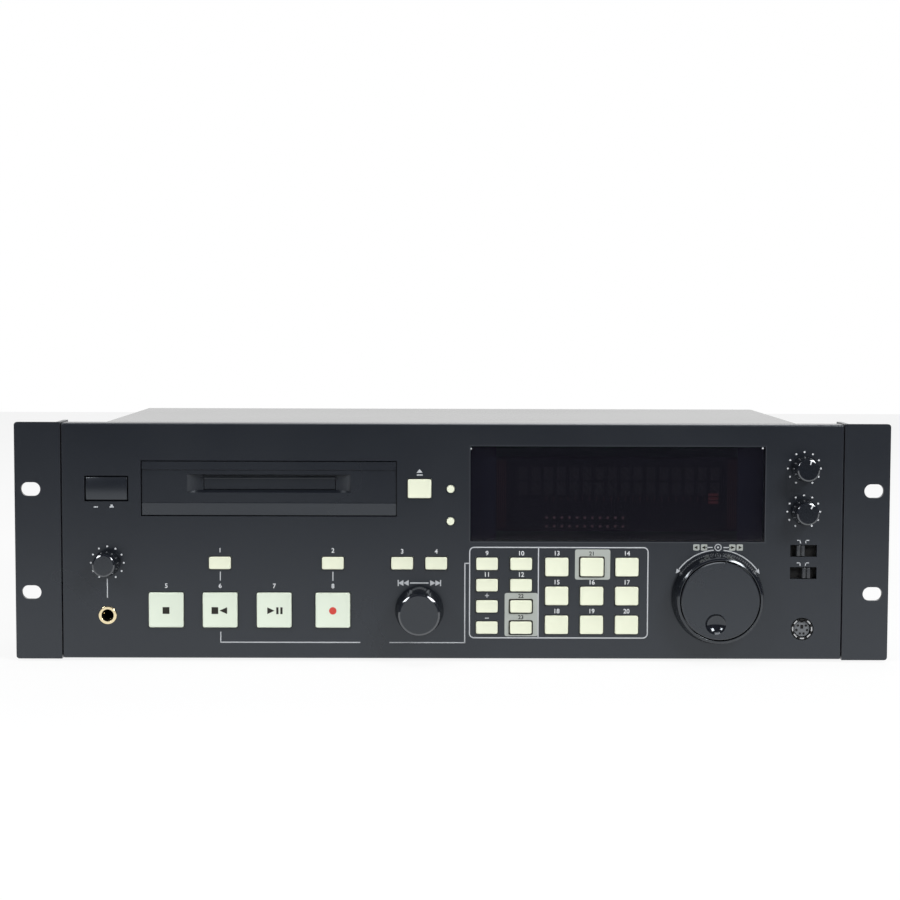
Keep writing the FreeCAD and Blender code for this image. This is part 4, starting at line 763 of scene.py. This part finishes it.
jack = {"ring": 5.0, "mouth": 3.36, "throat": 0.1, "gilt": 3.0, "collar": 4.2, "proud": 0.7, "foot": 0.02,
        "bore": 3.18, "deep": 26.0, "corners": {1: 0.1, 2: 0.15, 3: 0.4}, "barrel": 4.5, "barrelNear": 3.2,
        "barrelFar": 4.5, "body": 14.0, "bodyNear": 4.1, "bodyFar": 27.9, "springs": (40, 160, 280),
        "springCircle": 2.75, "springAt": 4.0, "springBall": 0.45}


def phonesJack():
    x, z = centreOf("phones_jack")
    ring, bore, collar, gilt, foot, proud = pick(jack, "ring bore collar gilt foot proud")
    deep, barrel, body = pick(jack, "deep barrel body")
    outline = [(bore, gilt), (bore, jack["throat"]), (jack["mouth"], -proud), (ring, -proud), (ring, -foot),
               (collar, -foot), (collar, gilt), (bore, gilt)]
    piece("jackRing", spun(bmesh.new(), x, z, rounded(outline, jack["corners"]), 72), "gold", "case",
          "gilt_metal", replaces=["phones_jack"])
    sleeve = bmesh.new()
    spun(sleeve, x, z, [(bore, deep), (bore, gilt), (collar, gilt), (barrel, jack["barrelNear"]),
                        (barrel, jack["barrelFar"])], 72)
    spun(sleeve, x, z, [(0, deep), (bore, deep)], 72)
    made = boxOf(sleeve, x, z, jack["bodyNear"], jack["bodyFar"], body, body)
    faces = {face for vert in made for face in vert.link_faces}
    bmesh.ops.delete(sleeve, geom=[face for face in faces if face.normal.y < -0.5], context="FACES_ONLY")
    piece("jackBody", sleeve, "hole", "case", "socket_black")
    springs = bmesh.new()
    for turn in jack["springs"]:
        place = spot(*around(x, z, jack["springCircle"], math.radians(turn)), -jack["springAt"])
        bmesh.ops.create_icosphere(springs, subdivisions=2, radius=jack["springBall"] * mm,
                                   matrix=Matrix.Translation(place))
    piece("jackSprings", springs, "gold", "case", "gilt_metal")


keyboard = {"shell": 5.65, "wall": 0.75, "proud": 0.1, "shellFar": 6.0, "core": 4.35, "coreFar": 5.2,
            "coreSoft": 0.3, "body": 6.75, "sunk": 1.0, "deep": 14.0, "slot": (1.1, 1.6, 2.2),
            "gapAt": 5.3, "gap": (1.75, 0.95), "gaps": 8, "gapDeep": 0.3, "topGap": 3.4, "notch": (0.4, 0.9),
            "pin": 0.69, "circle": 2.95, "lift": 0.02,
            "pins": ((-1, -0.25), (-0.75, 0.6), (-0.35, -0.9), (0.35, -0.9), (0.75, 0.6), (1, -0.25))}


def keyboardSocket():
    look = keyboard
    x, z = centreOf("keyboard_socket")
    inner, outer, near, far = look["shell"] - look["wall"], look["shell"], -look["proud"], look["shellFar"]
    outline = [(inner, far), (inner, near), (outer, near), (outer, far), (inner, far)]
    shell = spun(bmesh.new(), x, z, outline, 72)
    piece("keyboardShell", shell, "nickel", "case", "gilt_metal", replaces=["keyboard_socket"])
    core, sunk, step, wide, deep, lift = pick(look, "core sunk coreFar body deep lift")
    outline = [(0, sunk), (core, sunk), (core, step), (wide, step), (wide, deep), (0, deep)]
    body = spun(bmesh.new(), x, z, rounded(outline, {1: look["coreSoft"]}), 72)
    piece("keyboardCore", body, "socketGrey", "case", "socket_black")
    # deep black dots, slot and notch on the core and bars across the shell: painted shade in the pin holes,
    # key slot, notch and slits of the shell
    pins = bmesh.new()
    for across, up in look["pins"]:
        dot(pins, x + across * look["circle"], z + up * look["circle"], look["pin"], 14)
    up, across, tall = look["slot"]
    bar(pins, x, z + up, across, tall)
    low = sunk + lift
    for index in range(look["gaps"]):
        angle = math.radians((index + 0.5) * 360 / look["gaps"])
        bar(pins, *around(x, z, look["gapAt"], angle), *look["gap"], -angle, look["gapDeep"], low)
    bar(pins, x, z + look["gapAt"], look["topGap"], look["gap"][1], thick=look["gapDeep"], low=low)
    under, tall = look["notch"]
    bar(pins, x, z + core - under, across, tall, low=lift)
    piece("keyboardHoleShade", onFace(pins, -sunk - lift / 2), "hole", "case", "socket_black")


phonesJack()
keyboardSocket()


# Slide switches: the lever stands in a dark recess and has a groove down its middle.

lever = {"wide": 4.4, "tall": 5.9, "near": -0.3, "far": 3.1, "groove": 0.6, "lip": 0.35, "lipUnder": 0.2,
         "bridgeNear": 0.7, "bridge": (0.72, 5.8), "shutterNear": 3.3, "shutterFar": 4.5,
         "shutter": (21.1, 9.0)}


def slideLevers():
    for name in ("analog_digital_slider", "balance_slider"):
        x, z = centreOf(name)
        shape = bmesh.new()
        side = (lever["wide"] - lever["groove"]) / 2
        for way in (-1, 1):
            made = boxOf(shape, x + way * (side + lever["groove"]) / 2, z, lever["near"], lever["far"], side,
                         lever["tall"])
            rim = [edge for edge in edgesOf(made)
                   if (edge.verts[0].co.y + edge.verts[1].co.y) / 2 < faceY + lever["lipUnder"] * mm]
            softEdge(shape, rim, lever["lip"] * mm)
        boxOf(shape, x, z, lever["bridgeNear"], lever["shutterNear"], *lever["bridge"])
        piece(name + "_look", shape, "lever", name, "knob_black", replaces=[name])
        shape = bmesh.new()
        boxOf(shape, x, z, lever["shutterNear"], lever["shutterFar"], *lever["shutter"])
        piece(name.replace("_slider", "_shutter"), shape, "hole", name, "knob_black")


slideLevers()
print("sockets and switches built")


# Sockets on the back, in nickel, black and brass

backFace = 296.0
onRear = Matrix(((mm, 0, 0, 0), (0, 0, mm, faceY + backFace * mm), (0, mm, 0, earLow), (0, 0, 0, 1)))


def rearPiece(name, shape, finish, slot, **also):
    bmesh.ops.transform(shape, matrix=onRear, verts=shape.verts)
    piece(name, shape, finish, "case", slot, **also)


# a bar with its outer rim and corners rounded
def softBar(shape, x, z, wide, tall, thick, low, corner):
    made = block(shape, Matrix.Translation((x, z, low + thick / 2)), wide, tall, thick)
    edges = edgesOf(made)
    inner = {edge for edge in edges if all(abs(end.co.z - low) < thick / 100 for end in edge.verts)}
    softEdge(shape, edges - inner, corner)


phono = {"x": 60.0, "step": 28.0, "z": 40.0, "row": 19.6, "bore": 3.2, "shell": 4.15, "out": 9.0, "sunk": 3.0,
         "deep": 8.0, "soft": {1: 0.15, 2: 0.3}, "core": 1.6, "coreSunk": 0.4,
         "nuts": ((6.5, 6, 2.0), (7.4, 40, 0.5))}


def phonoSockets():
    look = phono
    shells, nuts, whites, reds = (bmesh.new() for number in range(4))
    bore, shell, core = pick(look, "bore shell core")
    near, far, deep = backFace + look["sunk"], backFace + look["out"], backFace - look["deep"]
    face = far - look["coreSunk"]
    outline = rounded([(bore, near), (bore, far), (shell, far), (shell, deep), (0, deep)], look["soft"])
    for index in range(6):
        x, z = look["x"] + index % 3 * look["step"], look["z"] - index // 3 * look["row"]
        spun(shells, x, z, outline, 48)
        spun(whites if index < 3 else reds, x, z, [(core, near), (core, face), (bore, face)], 48)
        for radius, sides, thick in look["nuts"]:
            dot(nuts, x, z, radius, sides, thick)
    piece("phonoShells", shells, "nickel", "case", "gilt_metal", replaces=["rear_sockets"])
    piece("phonoWhites", whites, "white", "case", "socket_black")
    piece("phonoReds", reds, "redPrint", "case", "socket_black")
    rearPiece("phonoNuts", nuts, "nickel", "gilt_metal")


lines = {"x": 66.0, "step": 36.0, "z": 88.0, "wide": 26.0, "tall": 31.0, "out": 2.5, "plateSoft": 1.0,
         "barrel": 10.5, "deep": 24.0, "latchUp": 12.6, "latch": (6.0, 3.0, 0.0, 1.2), "well": 9.4,
         "ring": (9.3, 11.0), "ringOut": 4.2, "ringSoft": {1: 0.4, 2: 0.6}, "circle": 4.2,
         "pins": ((-0.87, 0.5), (0.87, 0.5), (0, -1)), "pin": (1.2, 16, 1.4), "screwAcross": 9.8,
         "screwUp": 12.4, "screw": (1.9, 24, 0.8), "slot": (2.6, 0.5, 0.6), "slotOut": 3.3}


def lineSockets():
    look = lines
    plates, wells, metal, rings = (bmesh.new() for number in range(4))
    out, deep = look["out"], look["deep"]
    near, far = backFace + out, backFace + look["ringOut"]
    inner, outer = look["ring"]
    outline = rounded([(inner, near), (inner, far), (outer, far), (outer, near)], look["ringSoft"])
    for index in range(3):
        x, z = look["x"] + index * look["step"], look["z"]
        softBar(plates, x, z, look["wide"], look["tall"], out, 0.0, look["plateSoft"])
        dot(plates, x, z, look["barrel"], 48, deep, -deep)
        bar(plates, x, z + look["latchUp"], *look["latch"], low=out)
        dot(wells, x, z, look["well"], 48, low=out)
        spun(rings, x, z, outline, 64)
        for across, up in look["pins"]:
            dot(metal, x + across * look["circle"], z + up * look["circle"], *look["pin"], low=out)
        for side in (-1, 1):
            place = (x + side * look["screwAcross"], z - side * look["screwUp"])
            dot(metal, *place, *look["screw"], low=out)
            # a deep black bar on each screw head: painted shade in its slot
            bar(wells, *place, *look["slot"], low=look["slotOut"])
    rearPiece("linePlates", plates, "socket", "socket_black")
    piece("lineRings", rings, "socket", "case", "socket_black")
    rearPiece("lineWells", wells, "hole", "socket_black")
    rearPiece("linePins", metal, "nickel", "gilt_metal")


# plate, shell and well give wide, tall, thick, low and corner, bolts and pins radius, sides, thick and low
port = {"x": -60.0, "step": 50.0, "z": 60.0, "plate": (39.0, 12.5, 1.0, 0.0, 0.4), "deep": 10.0,
        "shell": (25.0, 9.0, 5.9, 0.0, 1.6), "well": (22.6, 6.8, 0.12, 5.85, 0.05), "boltAt": 16.2,
        "bolt": (2.6, 6, 4.0, 1.0), "boltHoleShade": (1.3, 20, 0.1, 4.95), "rows": ((1.4, 8), (-1.4, 7)),
        "pinStep": 2.4, "pin": (0.5, 12, 0.1, 5.9)}


def dataPorts():
    shells, wells, pins = (bmesh.new() for number in range(3))
    z = port["z"]
    for index in range(2):
        x = port["x"] + index * port["step"]
        softBar(shells, x, z, *port["plate"])
        softBar(shells, x, z, *port["shell"])
        bar(shells, x, z, *port["shell"][:2], thick=port["deep"], low=-port["deep"])
        softBar(wells, x, z, *port["well"])
        for side in (-1, 1):
            dot(shells, x + side * port["boltAt"], z, *port["bolt"])
            # a deep black disc on top of each bolt: painted shade in its threaded hole
            dot(wells, x + side * port["boltAt"], z, *port["boltHoleShade"])
        for row, count in port["rows"]:
            for pin in range(count):
                dot(pins, x + (pin - (count - 1) / 2) * port["pinStep"], z + row, *port["pin"])
    rearPiece("portShells", shells, "nickel", "gilt_metal")
    rearPiece("portWells", wells, "hole", "socket_black")
    rearPiece("portPins", pins, "gold", "gilt_metal")


mains = {"x": -168.0, "z": 72.0, "wide": 23.8, "tall": 16.3, "edge": 4.6, "wall": 1.6, "out": 2.0,
         "sunk": 14.0, "deep": 22.0, "blades": ((-7, -2), (7, -2), (0, 2)), "blade": (2.0, 4.0),
         "bladeShort": 3.0, "bladeSoft": 0.3}


def mainsInlet():
    look = mains
    x, z, out, sunk, deep, wide, tall, edge, wall = pick(look, "x z out sunk deep wide tall edge wall")
    shape, blades = bmesh.new(), bmesh.new()
    for side in (-1, 1):
        bar(shape, x + side * (wide + edge) / 2, z, edge, tall + 2 * edge, thick=out)
        bar(shape, x, z + side * (tall + edge) / 2, wide, edge, thick=out)
        bar(shape, x + side * (wide + wall) / 2, z, wall, tall + 2 * wall, thick=deep, low=-deep)
        bar(shape, x, z + side * (tall + wall) / 2, wide, wall, thick=deep, low=-deep)
    bar(shape, x, z, wide, tall, thick=deep - sunk, low=-deep)
    for across, up in look["blades"]:
        softBar(blades, x + across, z + up, *look["blade"], sunk - look["bladeShort"], -sunk,
                look["bladeSoft"])
    rearPiece("mainsInlet", shape, "socket", "socket_black")
    rearPiece("mainsBlades", blades, "gold", "gilt_metal")


phonoSockets()
lineSockets()
dataPorts()
mainsInlet()
print("back dressed")


# What shows inside the display tube, and the painted highlights at the window's upper corners

tube = {"rowsZ": (78.4, 73.6), "dotsFrom": 52.2, "dotStep": 4.25, "dotCount": 11, "dot": 0.85,
        "charFrom": 13.0, "charStep": 7.1, "charCount": 16, "charWide": 5.0, "charRows": (106.0, 97.6),
        "cellGap": 0.22, "redMark": (144.7, 89.2, 5.6, 6.4), "redGap": 0.5, "edgeWide": 5.5, "edgeAt": 0.8,
        "edgeBar": 0.35, "edgeShort": 3.0, "ticksFrom": 28.0, "tickStep": 4.0, "ticks": 24, "tickDown": 2.5,
        "tick": (0.5, 2.2), "thin": 0.02, "glintRadius": 0.5, "glintOut": 0.2,
        "glintsAt": ((0.1, 1.2), (-1.4, 0.5)), "line": 0.4, "lineAt": 0.6}


def tubeInside():
    out, thin = -depths("display_tube")[0], tube["thin"]
    left, right, base, top = extent("display_tube")
    paneLeft, paneRight, paneLow, paneHigh = extent("display_window")
    middleZ = (base + top) / 2
    shape = bmesh.new()
    for row in tube["rowsZ"]:
        for column in range(tube["dotCount"]):
            dot(shape, tube["dotsFrom"] + column * tube["dotStep"], row, tube["dot"], 8)
    piece("tubeDots", onFace(shape, out), "ghostPink", "case", "tube_glass")
    shape = bmesh.new()
    for near, far in ((paneLeft, left), (right, paneRight)):
        bar(shape, (near + far) / 2, middleZ, far - near, paneHigh - paneLow)
    piece("windowMask", onFace(shape, out), "ghostBlue", "case", "tube_glass")
    shape = bmesh.new()
    cell = tube["charWide"] / 5
    lit = cell - tube["cellGap"]
    for row in tube["charRows"]:
        for column in range(tube["charCount"]):
            start = left + tube["charFrom"] + column * tube["charStep"]
            for across in range(5):
                for up in range(7):
                    if (across * 3 + up * 5 + column * 7) % 4:
                        bar(shape, start + across * cell, row - up * cell, lit, lit, thick=thin)
    piece("tubeSegments", onFace(shape, out), "ghost", "case", "tube_glass")
    shape = bmesh.new()
    x, z, across, tall = tube["redMark"]
    for step in range(3):
        bar(shape, x, z + (step - 1) * tall / 3, across, tall / 3 - tube["redGap"])
    piece("tubeRedMark", onFace(shape, out + thin), "ghostRed", "case", "tube_glass")
    shape = bmesh.new()
    for step in range(5):
        reach = tube["edgeAt"] + step * tube["edgeWide"] / 5
        for x in (left + reach, right - reach):
            bar(shape, x, middleZ, tube["edgeBar"], top - base - tube["edgeShort"], thick=thin)
    for step in range(tube["ticks"]):
        bar(shape, left + tube["ticksFrom"] + step * tube["tickStep"], middleZ - tube["tickDown"],
            *tube["tick"], thick=thin)
    piece("tubeRedParts", onFace(shape, out + thin), "ghostEdge", "case", "tube_glass")
    # white dots at the window's two upper corners: painted highlights on the rounded corners of the cutout
    glints = bmesh.new()
    for x, (across, down) in zip((paneLeft, paneRight), tube["glintsAt"]):
        dot(glints, x + across, paneHigh - down, tube["glintRadius"], 16, tube["glintOut"])
    piece("windowGlints", onFace(glints, -depths("display_window")[0]), "dots", "case", "gilt_metal")
    # a lighter line round the display window: painted sheen on the bevel of the cutout
    shape = bmesh.new()
    frameLine(shape, *extent("display_window", tube["lineAt"]), tube["lineAt"], tube["line"])
    piece("windowBevelSheen", onFace(shape), "edge", "case", "panel_black")


tubeInside()
print("display filled")


# Floor, backdrop, lamps and camera

studio = {"floorFront": -0.72, "floorBack": 2.6, "halfWidth": 2.6, "backdropHigh": 2.6}


# a sheet of the studio: shown pale to the camera and in reflections, and shadowed by the deck
def paleStage(name, centre, long, tilt, ownLight):
    shape = bmesh.new()
    place = Matrix.Translation(centre) @ Matrix.Rotation(math.radians(tilt), 4, "X")
    bmesh.ops.create_grid(shape, x_segments=1, y_segments=1, size=0.5,
                          matrix=place @ Matrix.Diagonal((2 * studio["halfWidth"], long, 1, 1)))
    mesh = bpy.data.meshes.new(name)
    shape.to_mesh(mesh)
    shape.free()
    thing = placed(name, mesh)
    material = bpy.data.materials.new(name + "White")
    material.use_nodes = True
    tree = material.node_tree
    shader, output = tree.nodes["Principled BSDF"], tree.nodes["Material Output"]
    kinds = ("Emission", "MixShader", "LightPath", "Math", "Math")
    glow, mix, path, seen, share = (tree.nodes.new("ShaderNode" + kind) for kind in kinds)
    fill(shader, {"Base Color": (0.86, 0.86, 0.86, 1), "Roughness": 0.9})
    fill(glow, {"Color": (1, 1, 1, 1)})
    seen.operation = "MAXIMUM"
    share.operation = "MULTIPLY"
    fill(share, {1: ownLight})
    wire(tree, (path, "Is Camera Ray", seen, 0), (path, "Is Glossy Ray", seen, 1), (seen, 0, share, 0),
         (share, 0, mix, 0), (shader, 0, mix, 1), (glow, 0, mix, 2), (mix, 0, output, "Surface"))
    mesh.materials.append(material)


front, back, high = studio["floorFront"], studio["floorBack"], studio["backdropHigh"]
paleStage("floor", (0, (front + back) / 2, 0), back - front, 0, 0.88)
paleStage("backdrop", (0, back, high / 2), high, 90, 1.0)

world = bpy.data.worlds.new("studioWorld")
bpy.context.scene.world = world
world.use_nodes = True
background = world.node_tree.nodes["Background"]
cameraRay, worldMix = (world.node_tree.nodes.new("ShaderNode" + kind) for kind in ("LightPath", "Mix"))
worldMix.data_type = "RGBA"
fill(worldMix, {"A": (0.045, 0.05, 0.066, 1), "B": (1, 1, 1, 1)})
wire(world.node_tree, (cameraRay, "Is Camera Ray", worldMix, "Factor"),
     (worldMix, "Result", background, "Color"))

lamps = {
    "keyLamp": {"at": (0.85, -1.05, 0.95), "size": 0.5, "power": 17.5},
    "fillLamp": {"at": (-0.9, -0.95, 0.85), "size": 0.42, "power": 8.0},
    "topLamp": {"at": (0.0, -0.2, 1.5), "size": 1.0, "power": 10.0},
    "rearLamp": {"at": (0.3, 1.3, 1.3), "size": 0.8, "power": 8.0},
}
for name, lamp in lamps.items():
    light = bpy.data.lights.new(name, "AREA")
    light.size = lamp["size"]
    light.energy = lamp["power"]
    thing = placed(name, light)
    thing.location = lamp["at"]
    thing.rotation_euler = (Vector((0, 0, 0.06)) - Vector(lamp["at"])).to_track_quat("-Z", "Y").to_euler()

# solved on the corners and slots of the rack ears
view = {"right": -7.28, "away": -1072.39, "up": 190.69, "turn": -0.3035, "down": 3.965, "roll": 0.1704,
        "lens": 78.13}
camera = placed("photoCamera", bpy.data.cameras.new("photoCamera"))
camera.data.lens = view["lens"]
camera.data.sensor_width = 36.0
camera.data.clip_start = 0.05
turn, down, roll = (math.radians(view[key]) for key in ("turn", "down", "roll"))
cameraAt = spot(view["right"], view["up"], -view["away"])
camera.matrix_world = (Matrix.Translation(cameraAt)
                       @ Matrix.Rotation(turn, 4, "Z") @ Matrix.Rotation(math.pi / 2 - down, 4, "X")
                       @ Matrix.Rotation(roll, 4, "Z"))
bpy.context.scene.camera = camera
bpy.context.scene.view_settings.view_transform = "Standard"
